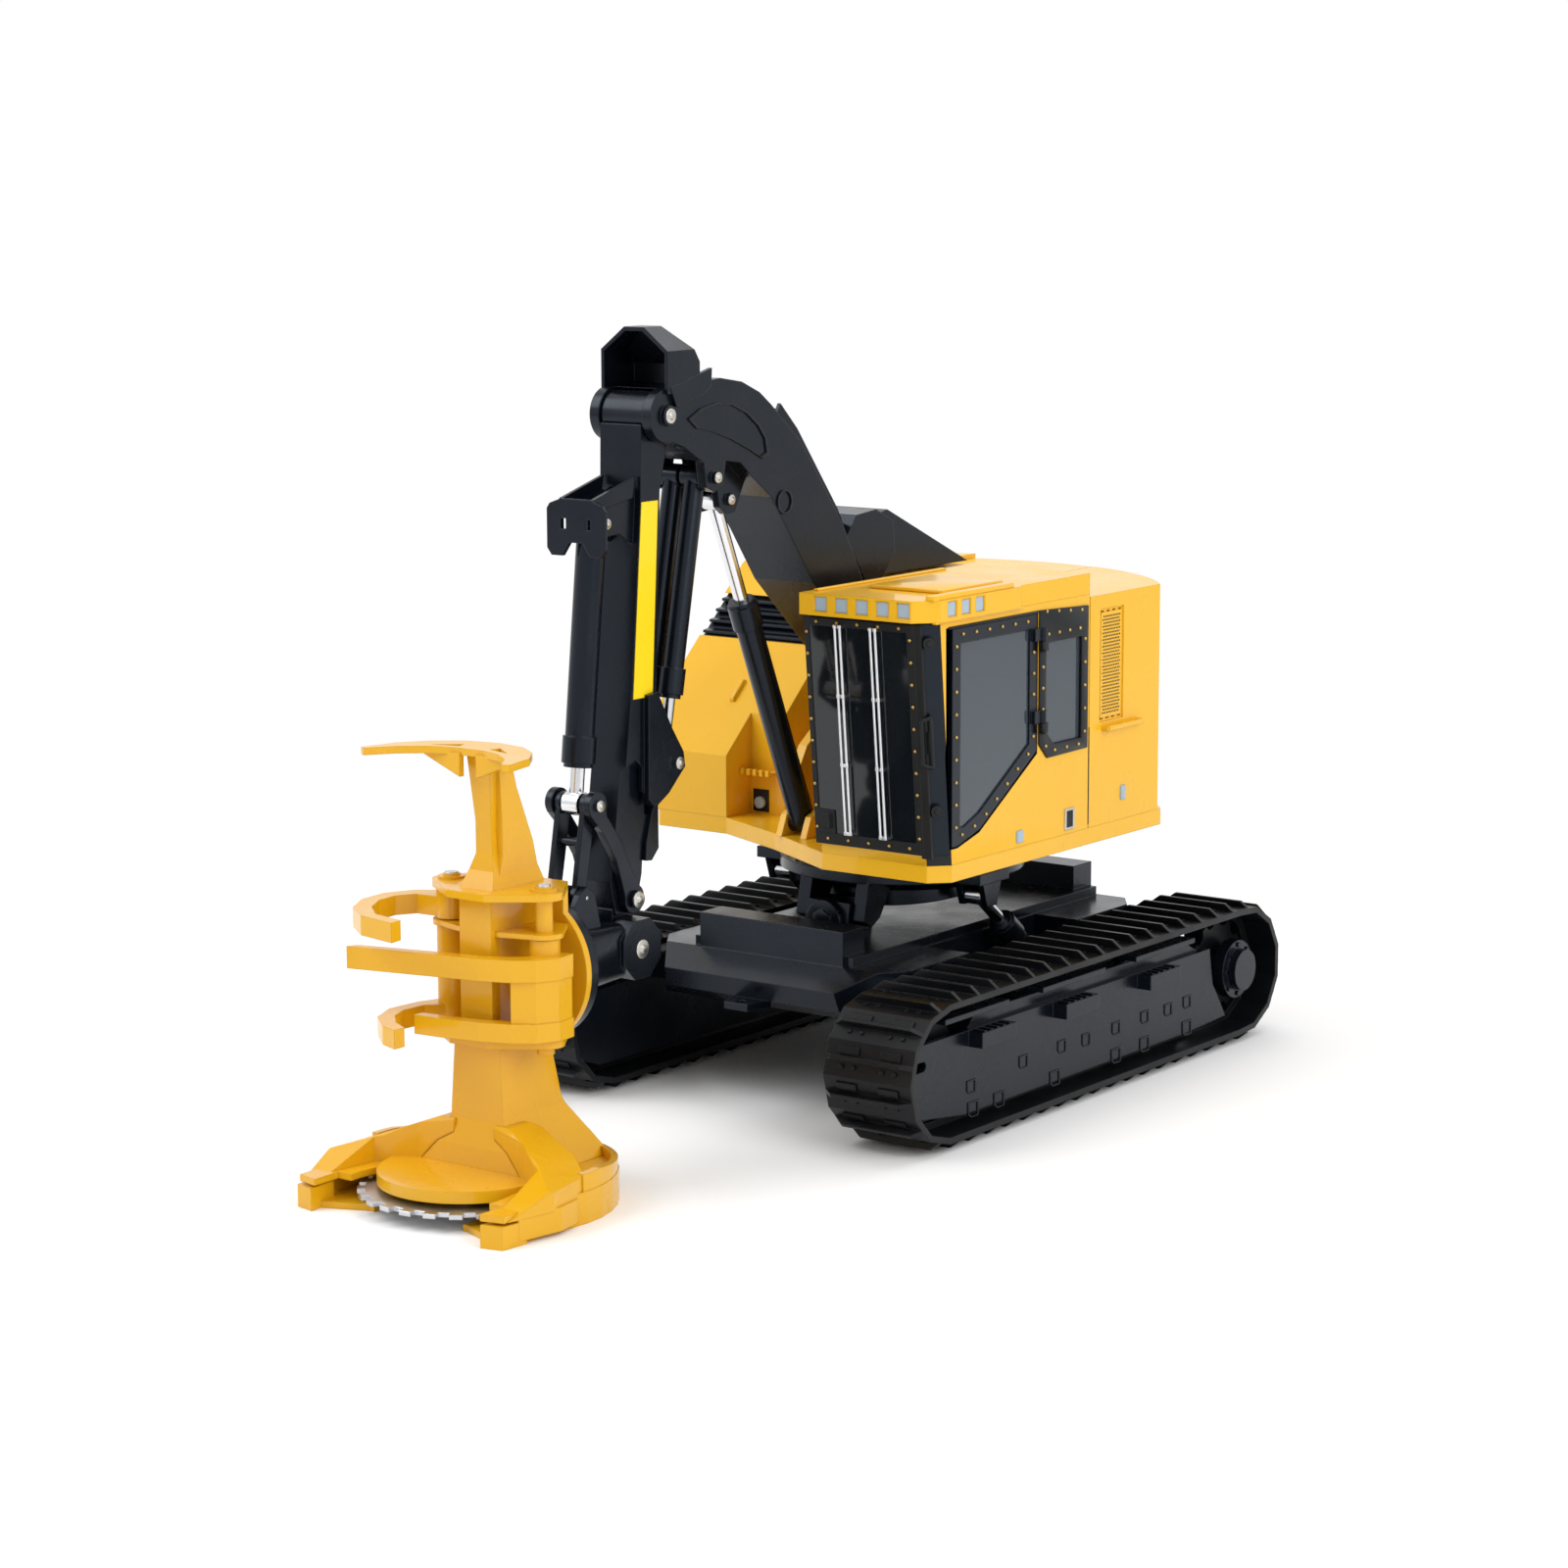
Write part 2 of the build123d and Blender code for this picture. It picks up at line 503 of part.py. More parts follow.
deck_front = plan_plate([(LEFT_SIDE_X, HOUSE_FRONT_Y + 1), (LEFT_SIDE_X, CAB_FRONT_LOW_Y + CAB_CORNER),
                         (CAB_OUT_X - CAB_CORNER, CAB_FRONT_LOW_Y), (CAB_IN_X, CAB_FRONT_LOW_Y),
                         (DECK_STEP_X, DECK_STEP_Y), (RECESS_X, HOOD_FRONT_Y),
                         (RIGHT_SIDE_X + 7, HOOD_FRONT_Y), (RIGHT_SIDE_X, HOOD_FRONT_Y + 7),
                         (RIGHT_SIDE_X, HOUSE_FRONT_Y + 1)], DECK_BOTTOM, DECK_TOP)
deck_rear = extrude(Plane.XY.offset(DECK_BOTTOM) * tail_outline(0, HOUSE_FRONT_Y, LEFT_SIDE_X, RIGHT_SIDE_X),
                    amount=DECK_TOP - DECK_BOTTOM)
nodes["deck"] = deck_front + deck_rear
BRACKET_IN = BOOM_FOOT_HALF_WIDTH + FIT
BRACKET_THICKNESS = 2.2
foot_y, foot_z = BOOM_FOOT_Y, BOOM_FOOT_Z
brackets = []
for side in (1, -1):
    x0 = side * BRACKET_IN
    x1 = x0 + side * BRACKET_THICKNESS
    brackets.append(side_plate([(foot_y - 22.3, DECK_TOP), (foot_y - 22.3, foot_z - 2.0),
                                (foot_y - 17.6, foot_z + 5.8), (foot_y - 12.0, foot_z + 9.6),
                                (foot_y + 2.0, foot_z + 10.0), (foot_y + 9.0, foot_z + 6.0),
                                (foot_y + 15.0, DECK_TOP)], min(x0, x1), max(x0, x1)))
brackets.append(pin_x(foot_y, foot_z, BOOM_PIN_RADIUS, -BRACKET_IN - 1.4, BRACKET_IN + 1.4))
nodes["boom_foot_bracket"] = fuse_all(brackets)
hoist_lugs = []
for side in (1, -1):
    x0 = side * (HOIST_HALF + 0.2)
    x1 = x0 + side * 1.5
    hoist_lugs.append(side_plate([(HOIST_FOOT_Y - 4.4, DECK_TOP), (HOIST_FOOT_Y + 5.6, DECK_TOP),
                                  (HOIST_FOOT_Y + 2.6, HOIST_FOOT_Z + 1.8),
                                  (HOIST_FOOT_Y, HOIST_FOOT_Z + 2.6),
                                  (HOIST_FOOT_Y - 2.4, HOIST_FOOT_Z + 1.6)], min(x0, x1), max(x0, x1)))
hoist_lugs.append(pin_x(HOIST_FOOT_Y, HOIST_FOOT_Z, 1.2, -HOIST_HALF - 2.2, HOIST_HALF + 2.2))
nodes["hoist_foot_lugs"] = fuse_all(hoist_lugs)

engine_house = extrude(Plane.XY.offset(DECK_TOP) * tail_outline(-1.5, HOUSE_FRONT_Y + 1, CAB_IN_X, HOOD_IN_X),
                       amount=HOUSE_TOP - DECK_TOP)
nodes["engine_house"] = engine_house
left_bay = extrude(Plane.XY.offset(DECK_TOP) * tail_outline(-0.8, CAB_REAR_Y + PANEL_GAP, LEFT_SIDE_X, CAB_IN_X + PANEL_GAP),
                   amount=HOUSE_TOP - DECK_TOP)
grille_low, grille_high = HOUSE_TOP - 27.0, HOUSE_TOP - 3.0
left_bay -= block(LEFT_SIDE_X - 1.4, LEFT_SIDE_X + 1, 8.6, 18.0, grille_low, grille_high)
nodes["left_compartment"] = left_bay
grille = block(LEFT_SIDE_X - 1.4, LEFT_SIDE_X - 0.3, 8.6, 18.0, grille_low, grille_high)
GRILLE_ROWS, GRILLE_COLUMNS = 12, 4
row_pitch, column_pitch = (grille_high - grille_low) / GRILLE_ROWS, 9.4 / GRILLE_COLUMNS
for row in range(GRILLE_ROWS):
    for column in range(GRILLE_COLUMNS):
        y0, z0 = 8.6 + (column + 0.2) * column_pitch, grille_low + (row + 0.22) * row_pitch
        grille -= block(LEFT_SIDE_X - 1.0, LEFT_SIDE_X, y0, y0 + 0.6 * column_pitch, z0, z0 + 0.56 * row_pitch)
nodes["left_grille"] = grille

hood_top_y = HOOD_FRONT_Y + (HOUSE_TOP + 1.0 - HOOD_SEAM_Z) / HOOD_SLOPE
hood = side_plate([(HOOD_FRONT_Y, DECK_TOP), (HOOD_FRONT_Y, HOOD_SEAM_Z), (hood_top_y, HOUSE_TOP + 1.0),
                   (TAIL_RADIUS, HOUSE_TOP + 1.0), (TAIL_RADIUS, DECK_TOP)], RIGHT_SIDE_X, HOOD_IN_X - PANEL_GAP)
hood &= extrude(Plane.XY.offset(DECK_TOP) * tail_outline(-0.8, HOOD_FRONT_Y - 1, RIGHT_SIDE_X, HOOD_IN_X - PANEL_GAP),
                amount=60)
hood -= plan_plate([(RIGHT_SIDE_X - 1, HOOD_FRONT_Y - 1), (RIGHT_SIDE_X + 6, HOOD_FRONT_Y - 1),
                    (RIGHT_SIDE_X - 1, HOOD_FRONT_Y + 6)], DECK_TOP, HOUSE_TOP)
hood -= block(RECESS_X, 0, HOOD_FRONT_Y - 1, HOOD_FRONT_Y + RECESS_DEPTH, DECK_TOP, HOUSE_TOP)
louvre_low_y = HOOD_FRONT_Y + (LOUVRE_LOW_Z - HOOD_SEAM_Z) / HOOD_SLOPE
louvre_high_y = HOOD_FRONT_Y + (LOUVRE_HIGH_Z - HOOD_SEAM_Z) / HOOD_SLOPE
LOUVRE_DEPTH = 1.6
pocket = side_plate([(louvre_low_y, LOUVRE_LOW_Z), (louvre_low_y + LOUVRE_DEPTH, LOUVRE_LOW_Z),
                     (louvre_high_y + LOUVRE_DEPTH, LOUVRE_HIGH_Z), (louvre_high_y, LOUVRE_HIGH_Z)],
                    RIGHT_SIDE_X, HOOD_IN_X)
hood -= pocket
nodes["right_hood"] = hood
louvres = []
LOUVRE_COUNT = 4
for i in range(LOUVRE_COUNT):
    z = LOUVRE_LOW_Z + (LOUVRE_HIGH_Z - LOUVRE_LOW_Z) * (i + 0.5) / LOUVRE_COUNT
    y = HOOD_FRONT_Y + (z - HOOD_SEAM_Z) / HOOD_SLOPE
    louvres.append(side_plate([(y - 0.7, z + 0.1), (y - 0.7, z - 0.5), (y + LOUVRE_DEPTH, z - 0.2),
                               (y + LOUVRE_DEPTH, z + 0.4)], RIGHT_SIDE_X + 0.6, HOOD_IN_X - 0.8))
back = side_plate([(louvre_low_y + 1.0, LOUVRE_LOW_Z), (louvre_low_y + LOUVRE_DEPTH, LOUVRE_LOW_Z),
                   (louvre_high_y + LOUVRE_DEPTH, LOUVRE_HIGH_Z), (louvre_high_y + 1.0, LOUVRE_HIGH_Z)],
                  RIGHT_SIDE_X + 0.4, HOOD_IN_X - 0.5)
nodes["right_louvres"] = fuse_all([back] + louvres) - hood

SCOOP_TOP = HOUSE_TOP + 15.0
scoop = side_plate([(6.0, HOUSE_TOP + 1.0), (6.0, SCOOP_TOP - 0.5), (8.5, SCOOP_TOP), (40.0, HOUSE_TOP + 1.0)],
                   -33.0, -10.0)
nodes["intake_scoop"] = scoop - side_plate([(5.0, HOUSE_TOP + 2.4), (5.0, SCOOP_TOP - 1.8), (8.0, SCOOP_TOP - 1.4),
                                            (34.0, HOUSE_TOP + 2.4)], -31.6, -11.4)

# Cab: a hollow box with its windows cut, a side door, roof, glass, seat and console
lean = (CAB_FRONT_TOP_Y - CAB_FRONT_LOW_Y) / (CAB_EAVE - DECK_TOP)


def cab_front_y(z):
    return CAB_FRONT_LOW_Y + lean * (z - DECK_TOP)


def cab_ring(z, inset):
    """Plan outline of the cab at height z, inset by a wall."""
    front = cab_front_y(z) + inset
    corner = CAB_CORNER + (inset * 0.41 if inset else 0)
    return [(CAB_IN_X + inset, CAB_REAR_Y - inset), (CAB_IN_X + inset, front),
            (CAB_OUT_X - CAB_CORNER, front), (CAB_OUT_X - inset, front + CAB_CORNER),
            (CAB_OUT_X - inset, CAB_REAR_Y - inset)]


def cab_solid(z0, z1, inset):
    low = Plane.XY.offset(z0) * make_face(Polyline(*cab_ring(z0, inset), close=True))
    high = Plane.XY.offset(z1) * make_face(Polyline(*cab_ring(z1, inset), close=True))
    return loft([low, high])


CAB_FLOOR = 1.2
shell = cab_solid(DECK_TOP, CAB_EAVE, 0.0) - cab_solid(DECK_TOP + CAB_FLOOR, CAB_EAVE, CAB_WALL)
WIN_LOW, WIN_HIGH = DECK_TOP + 3.5, CAB_EAVE - 2.1
SIDE_HIGH = CAB_EAVE - 7.6
DOOR_HIGH = CAB_EAVE - 2.0
front_window = block(CAB_IN_X + 3.0, CAB_OUT_X - CAB_CORNER - 1.8, -70, -40, WIN_LOW, WIN_HIGH)
DOOR = [(-49.0, 58.2), (-49.3, DOOR_HIGH + 0.4), (-15.6, DOOR_HIGH + 0.4), (-15.6, 73.6), (-37.0, 60.3),
        (-45.0, 58.2)]
door_cut = side_plate(DOOR, CAB_OUT_X - CAB_WALL - 1, CAB_OUT_X + 2)
REAR_WINDOW = [(-13.0, 74.5), (-13.0, SIDE_HIGH), (1.0, SIDE_HIGH), (1.0, 74.5)]
INNER_WINDOW = [(-45.0, 62.0), (-45.0, CAB_EAVE - 4.6), (-6.0, CAB_EAVE - 4.6), (-6.0, 62.0)]
rear_side_window = side_plate(REAR_WINDOW, CAB_OUT_X - 3, CAB_OUT_X + 2)
inner_window = side_plate(INNER_WINDOW, CAB_IN_X - 1, CAB_IN_X + 3)
shell -= front_window
shell -= door_cut
shell -= rear_side_window
shell -= inner_window
door_panel = side_plate([(-46.9, 58.6), (-46.9, DOOR_HIGH), (-15.9, DOOR_HIGH), (-15.9, 74.2), (-37.0, 60.9),
                         (-45.0, 58.6)], CAB_OUT_X - CAB_WALL + 0.2, CAB_OUT_X)
door_window = side_plate([(-44.0, 62.2), (-44.0, DOOR_HIGH - 3.1), (-18.6, DOOR_HIGH - 3.1), (-18.6, 76.0),
                          (-37.0, 64.3), (-42.5, 62.2)], CAB_OUT_X - 3, CAB_OUT_X + 1)
door = door_panel - door_window
door_hinges = []
for z in (80.0, 97.0):
    door += pin_z(CAB_OUT_X + DOOR_HINGE_OUT, CAB_DOOR_HINGE_Y, 0.7, z, z + 2.6)
    door += block(CAB_OUT_X - 0.2, CAB_OUT_X + DOOR_HINGE_OUT, CAB_DOOR_HINGE_Y - 3.0, CAB_DOOR_HINGE_Y, z, z + 2.6)
    door_hinges.append(pin_z(CAB_OUT_X + DOOR_HINGE_OUT, CAB_DOOR_HINGE_Y, 0.7, z - 2.3, z - 0.1))
    door_hinges.append(block(CAB_OUT_X - 0.3, CAB_OUT_X + DOOR_HINGE_OUT, CAB_DOOR_HINGE_Y, CAB_DOOR_HINGE_Y + 2.0,
                             z - 2.3, z - 0.1))
nodes["cab_door"] = door - block(CAB_OUT_X - 3, CAB_OUT_X, CAB_DOOR_HINGE_Y - 0.7, 0, 50, 110)
nodes["cab_shell"] = fuse_all([shell] + door_hinges)
GLASS_IN, GLASS_OUT = CAB_OUT_X - 1.0, CAB_OUT_X - 0.4
nodes["cab_door_glass"] = side_plate([(-43.95, 62.25), (-43.95, DOOR_HIGH - 3.15), (-18.65, DOOR_HIGH - 3.15),
                                      (-18.65, 76.0), (-37.0, 64.35), (-42.5, 62.25)], GLASS_IN, GLASS_OUT)

GLASS = 0.6
front_pane = side_face([(cab_front_y(WIN_LOW) + 0.3, WIN_LOW), (cab_front_y(WIN_HIGH) + 0.3, WIN_HIGH),
                        (cab_front_y(WIN_HIGH) + 0.3 + GLASS, WIN_HIGH), (cab_front_y(WIN_LOW) + 0.3 + GLASS, WIN_LOW)],
                       CAB_IN_X + 3.0)
panes = [extrude(front_pane, amount=CAB_OUT_X - CAB_CORNER - 1.8 - CAB_IN_X - 3.0)]
panes.append(side_plate(REAR_WINDOW, GLASS_IN, GLASS_OUT))
panes.append(side_plate(INNER_WINDOW, CAB_IN_X + 0.4, CAB_IN_X + 1.0))
nodes["cab_glass"] = Compound(children=panes)

# Black frame on the cab's front face and a black post on its chamfered corner
FRAME_PROUD = 0.5
frame_low, frame_high = DECK_TOP + 2.2, CAB_EAVE - 0.4
front_frame = side_plate([(cab_front_y(frame_low) - FRAME_PROUD, frame_low), (cab_front_y(frame_high) - FRAME_PROUD, frame_high),
                          (cab_front_y(frame_high), frame_high), (cab_front_y(frame_low), frame_low)],
                         CAB_IN_X + 0.4, CAB_OUT_X - CAB_CORNER - 0.2)
front_frame -= block(CAB_IN_X + 3.0, CAB_OUT_X - CAB_CORNER - 1.8, -70, -40, WIN_LOW, WIN_HIGH)
nodes["cab_front_frame"] = front_frame
post_faces = []
for z in (frame_low, frame_high):
    corner_x, corner_y = CAB_OUT_X - CAB_CORNER, cab_front_y(z)
    post_faces.append(Plane.XY.offset(z) * make_face(Polyline(
        (corner_x + 0.2, corner_y + 0.2), (corner_x + 3.3, corner_y + 3.3), (corner_x + 3.65, corner_y + 2.95),
        (corner_x + 0.55, corner_y - 0.15), close=True)))
nodes["cab_corner_post"] = loft(post_faces)

visor_y = cab_front_y(CAB_EAVE) - VISOR_DEPTH
roof = plan_plate([(CAB_IN_X - 0.6, CAB_REAR_Y), (CAB_IN_X - 0.6, visor_y), (CAB_OUT_X - 3.0, visor_y),
                   (CAB_OUT_X + 1.2, visor_y + 4.2), (CAB_OUT_X + 1.2, -24.0), (CAB_OUT_X, -22.0),
                   (CAB_OUT_X, CAB_REAR_Y)], CAB_EAVE, CAB_ROOF_TOP)
lamps = []
for i in range(5):
    x = CAB_IN_X + 4.6 + i * LAMP_PITCH
    pocket = block(x - LAMP_SIZE / 2, x + LAMP_SIZE / 2, visor_y - 1, visor_y + 1.6,
                   CAB_EAVE + 0.7, CAB_EAVE + 0.7 + LAMP_SIZE)
    roof -= pocket
    lamps.append(block(x - LAMP_SIZE / 2 + 0.2, x + LAMP_SIZE / 2 - 0.2, visor_y + 0.3, visor_y + 1.6,
                       CAB_EAVE + 0.9, CAB_EAVE + 0.5 + LAMP_SIZE))
for i in range(3):
    y = visor_y + 8.6 + i * LAMP_PITCH
    x = CAB_OUT_X + 1.2
    roof -= block(x - 1.6, x + 1, y - LAMP_SIZE / 2, y + LAMP_SIZE / 2, CAB_EAVE + 0.7, CAB_EAVE + 0.7 + LAMP_SIZE)
    lamps.append(block(x - 1.6, x - 0.3, y - LAMP_SIZE / 2 + 0.2, y + LAMP_SIZE / 2 - 0.2,
                       CAB_EAVE + 0.9, CAB_EAVE + 0.5 + LAMP_SIZE))
nodes["cab_roof"] = roof
nodes["work_lamps"] = Compound(children=lamps)

seat_x = (CAB_IN_X + CAB_OUT_X) / 2
floor_z = DECK_TOP + CAB_FLOOR
seat = block(seat_x - 5, seat_x + 5, -24, -12, floor_z + 9, floor_z + 13)
seat += block(seat_x - 5, seat_x + 5, -14, -11, floor_z + 9, floor_z + 32)
seat += block(seat_x - 3, seat_x + 3, -21, -14, floor_z, floor_z + 9)
for side in (1, -1):
    arm_x = seat_x + side * 7.2
    seat += block(arm_x - 1.4, arm_x + 1.4, -28, -15, floor_z + 14, floor_z + 16.5)
    seat += block(min(arm_x, seat_x + side * 4), max(arm_x, seat_x + side * 4), -18, -15, floor_z + 10, floor_z + 15)
    seat += pin_z(arm_x, -26.5, 0.7, floor_z + 16.5, floor_z + 20)
nodes["cab_seat"] = seat

# Boom: a bent box beam with a forked tip, seen from the side
boom_outline = [(BOOM_FOOT_Y + 4.5, BOOM_FOOT_Z - 2.0), (BOOM_FOOT_Y + 3.0, BOOM_FOOT_Z + 6.0),
                (-25.6, 108.3), (-32.6, 120.2), (-47.3, 138.3), (-53.0, 142.8), (-57.2, 146.2),
                (-61.1, 148.9), (-67.0, 151.3), (-74.0, 152.4), (-80.0, 151.9), (-86.0, 150.4),
                (BOOM_TIP_Y, BOOM_TIP_Z + 4.6), (BOOM_TIP_Y, BOOM_TIP_Z - 4.6), (-85.6, 139.6),
                (-79.5, 136.2), (-76.7, 135.4), (-72.0, 136.0), (-67.4, 135.3), (-63.5, 132.1),
                (-57.3, 127.7), (-50.3, 118.8), (-43.0, 109.0), (-23.4, 91.3),
                (BOOM_FOOT_Y - 6.5, BOOM_FOOT_Z + 9.0), (BOOM_FOOT_Y - 5.0, BOOM_FOOT_Z - 1.0),
                (BOOM_FOOT_Y - 3.4, BOOM_FOOT_Z - 4.2), (BOOM_FOOT_Y, BOOM_FOOT_Z - 5.2),
                (BOOM_FOOT_Y + 3.2, BOOM_FOOT_Z - 4.2)]
boom = side_plate(boom_outline, -BOOM_HALF_WIDTH, BOOM_HALF_WIDTH)
boom += pin_x(BOOM_TIP_Y, BOOM_TIP_Z, BOOM_HUB_RADIUS, -BOOM_HALF_WIDTH, BOOM_HALF_WIDTH)
FOOT_NARROW_RADIUS = 17.0
for side in (1, -1):
    x0, x1 = sorted((side * BOOM_FOOT_HALF_WIDTH, side * (BOOM_HALF_WIDTH + 1)))
    boom -= pin_x(BOOM_FOOT_Y, BOOM_FOOT_Z, FOOT_NARROW_RADIUS, x0, x1)
boom -= pin_x(BOOM_FOOT_Y, BOOM_FOOT_Z, BOOM_PIN_RADIUS + PIN_FIT, -9, 9)
FORK_IN = STICK_HALF_WIDTH + FIT
STICK_HEAD_RADIUS = 4.6
fork_cut = pin_x(BOOM_TIP_Y, BOOM_TIP_Z, STICK_HEAD_RADIUS + 0.5, -FORK_IN, FORK_IN)
fork_cut += block(-FORK_IN, FORK_IN, BOOM_TIP_Y - 8, BOOM_TIP_Y, BOOM_TIP_Z - 9, BOOM_TIP_Z + 8)
fork_cut += side_plate([(BOOM_TIP_Y, BOOM_TIP_Z), (BOOM_TIP_Y + 5.1, BOOM_TIP_Z),
                        (BOOM_TIP_Y + 9.5, BOOM_TIP_Z - 12), (BOOM_TIP_Y, BOOM_TIP_Z - 12)],
                       -FORK_IN, FORK_IN)
boom -= fork_cut
slot_half = STICK_CYL_X + STICK_CYL_RADIUS + 0.6
boom -= block(-slot_half, slot_half, -84.5, STICK_CYL_TOP_Y + 3.6, 120.0, STICK_CYL_TOP_Z + 3.6)
pins = [pin_x(BOOM_TIP_Y, BOOM_TIP_Z, BOOM_PIN_RADIUS, -BOOM_HALF_WIDTH - 0.9, BOOM_HALF_WIDTH + 0.9)]
pins.append(pin_x(STICK_CYL_TOP_Y, STICK_CYL_TOP_Z, 1.2, -BOOM_HALF_WIDTH - 0.9, BOOM_HALF_WIDTH + 0.9))
for side in (1, -1):
    x0, x1 = sorted((side * slot_half, side * BOOM_HALF_WIDTH))
    pins.append(side_plate([(STICK_CYL_TOP_Y - 3.6, 137.5), (STICK_CYL_TOP_Y - 2.6, STICK_CYL_TOP_Z - 1.8),
                            (STICK_CYL_TOP_Y, STICK_CYL_TOP_Z - 2.9), (STICK_CYL_TOP_Y + 2.6, STICK_CYL_TOP_Z - 1.8),
                            (STICK_CYL_TOP_Y + 4.0, 137.5)], x0, x1))
    x0, x1 = sorted((side * (HOIST_HALF + 0.2), side * (HOIST_HALF + 1.8)))
    pins.append(side_plate([(HOIST_EYE_Y - 5.0, 136.2), (HOIST_EYE_Y - 3.0, HOIST_EYE_Z - 1.4),
                            (HOIST_EYE_Y - 1.0, HOIST_EYE_Z - 2.9), (HOIST_EYE_Y + 1.8, HOIST_EYE_Z - 2.6),
                            (HOIST_EYE_Y + 6.6, 133.5)], x0, x1))
    x0, x1 = sorted((side * (HOIST_HALF + 1.0), side * (HOIST_HALF + 2.5)))
    pins.append(pin_x(HOIST_EYE_Y, HOIST_EYE_Z, 1.2, x0, x1))
nodes["boom"] = fuse_all([boom] + pins)

# Guard over the boom tip: a folded plate open to the front, and a tab down each side
GUARD_FRONT_Y, GUARD_REAR_Y = -91.6, -81.4
guard_out = [(-8.2, 150.2), (-8.2, 158.4), (-2.4, 162.9), (2.4, 162.9), (8.2, 158.4), (8.2, 150.2)]
guard_in = [(-7.5, 149.0), (-7.5, 158.0), (-2.1, 162.1), (2.1, 162.1), (7.5, 158.0), (7.5, 149.0)]
tip_guard = front_plate(guard_out, GUARD_FRONT_Y, GUARD_REAR_Y)
tip_guard -= front_plate(guard_in, GUARD_FRONT_Y - 1, GUARD_REAR_Y - 0.8)
tip_guard -= side_plate([(GUARD_REAR_Y - 5.5, 164.0), (GUARD_REAR_Y + 1, 164.0), (GUARD_REAR_Y + 1, 156.0),
                         (GUARD_REAR_Y, 156.0)], -10, 10)
rear_slope = side_plate([(GUARD_REAR_Y - 5.5, 163.4), (GUARD_REAR_Y, 155.4), (GUARD_REAR_Y - 0.9, 155.4),
                         (GUARD_REAR_Y - 6.3, 163.3)], -10, 10)
tip_guard += rear_slope & front_plate(guard_out, GUARD_FRONT_Y, GUARD_REAR_Y)
for side in (1, -1):
    x0, x1 = sorted((side * BOOM_HALF_WIDTH, side * (BOOM_HALF_WIDTH + 0.9)))
    tip_guard += side_plate([(GUARD_FRONT_Y + 0.8, 151.4), (GUARD_REAR_Y + 3.6, 154.6), (GUARD_REAR_Y + 3.4, 151.0),
                             (GUARD_REAR_Y + 1.0, 149.6), (GUARD_FRONT_Y + 2.6, 147.6)], x0, x1)
nodes["boom_tip_guard"] = tip_guard - boom

# Hose tray along the upper edge of the boom, and the box round it
tray_outline = [(-52.2, 142.4), (-50.0, 145.9), (-44.3, 140.5), (-30.2, 123.0), (-22.9, 110.1), (-25.9, 108.4),
                (-33.0, 120.4), (-47.6, 138.5)]
hose_tray = side_plate(tray_outline, -4.5, 4.5)
hose_tray -= side_plate([(-53.0, 146.4), (-50.3, 144.7), (-45.2, 139.9), (-31.1, 122.3), (-23.9, 109.5),
                         (-20.0, 110.0), (-40.0, 150.0)], -3.7, 3.7)
nodes["hose_tray"] = hose_tray - boom
clamp = side_plate([(-30.6, 117.2), (-27.0, 121.6), (-20.0, 122.2), (-13.6, 119.5), (-13.0, 112.6),
                    (-21.4, 104.0)], -7.0, 7.0)
clamp -= side_plate([(-40.0, 121.0), (-30.0, 116.4), (-25.8, 119.8), (-20.0, 120.6), (-15.4, 118.2),
                     (-14.9, 113.2), (-24.0, 104.0), (-40.0, 105.0)], -5.8, 5.8)
nodes["hose_clamp_guard"] = clamp - boom - nodes["hose_tray"]

hoist_barrel, hoist_rod = ram((HOIST_FOOT_Y, HOIST_FOOT_Z), (HOIST_EYE_Y, HOIST_EYE_Z), (0,),
                              HOIST_BARREL_RADIUS, HOIST_ROD_RADIUS, HOIST_BARREL_LENGTH, HOIST_HALF, 1.2, 10.0)
nodes["hoist_cylinder_barrel"] = hoist_barrel
nodes["hoist_cylinder_rod"] = hoist_rod

# Stick and its cylinders
GUSSET_IN = STICK_CYL_X + STICK_CYL_RADIUS + 0.3
GUSSET_OUT = GUSSET_IN + 1.1
stick_outline = [(-96.0, 144.5), (-96.3, 129.6), (-99.4, 94.3), (-103.3, 66.0), (-105.0, 56.0), (-103.4, 49.4),
                 (-97.3, 49.4), (-95.3, 56.5), (-94.8, 62.0), (-91.8, 72.0), (-91.8, 93.4), (-90.3, 131.4),
                 (-88.0, 140.0)]
stick = side_plate(stick_outline, -STICK_HALF_WIDTH, STICK_HALF_WIDTH)
stick += pin_x(BOOM_TIP_Y, BOOM_TIP_Z, STICK_HEAD_RADIUS, -STICK_HALF_WIDTH, STICK_HALF_WIDTH)
for side in (1, -1):
    x0, x1 = sorted((side * STICK_FOOT_HALF_WIDTH, side * 9))
    stick -= side_plate([(-112.0, STICK_NARROW_Z - 6), (-98.5, STICK_NARROW_Z), (-90.0, STICK_NARROW_Z - 7),
                         (-85.0, 60.0), (-85.0, 45.0), (-112.0, 45.0)], x0, x1)
stick -= pin_x(BOOM_TIP_Y, BOOM_TIP_Z, BOOM_PIN_RADIUS + PIN_FIT, -9, 9)
TONGUE_HALF = 3.0
TONGUE_RADIUS = 4.2
stick += side_plate([(WRIST_Y - 3.4, WRIST_Z), (WRIST_Y + 3.4, WRIST_Z), (WRIST_Y + 3.2, 50.5),
                     (WRIST_Y - 3.2, 50.5)], -TONGUE_HALF, TONGUE_HALF)
stick += pin_x(WRIST_Y, WRIST_Z, TONGUE_RADIUS, -TONGUE_HALF, TONGUE_HALF)
stick -= pin_x(WRIST_Y, WRIST_Z, BOOM_PIN_RADIUS + PIN_FIT, -9, 9)
gussets = []
eye_y, eye_z = STICK_CYL_EYE_Y, STICK_CYL_EYE_Z
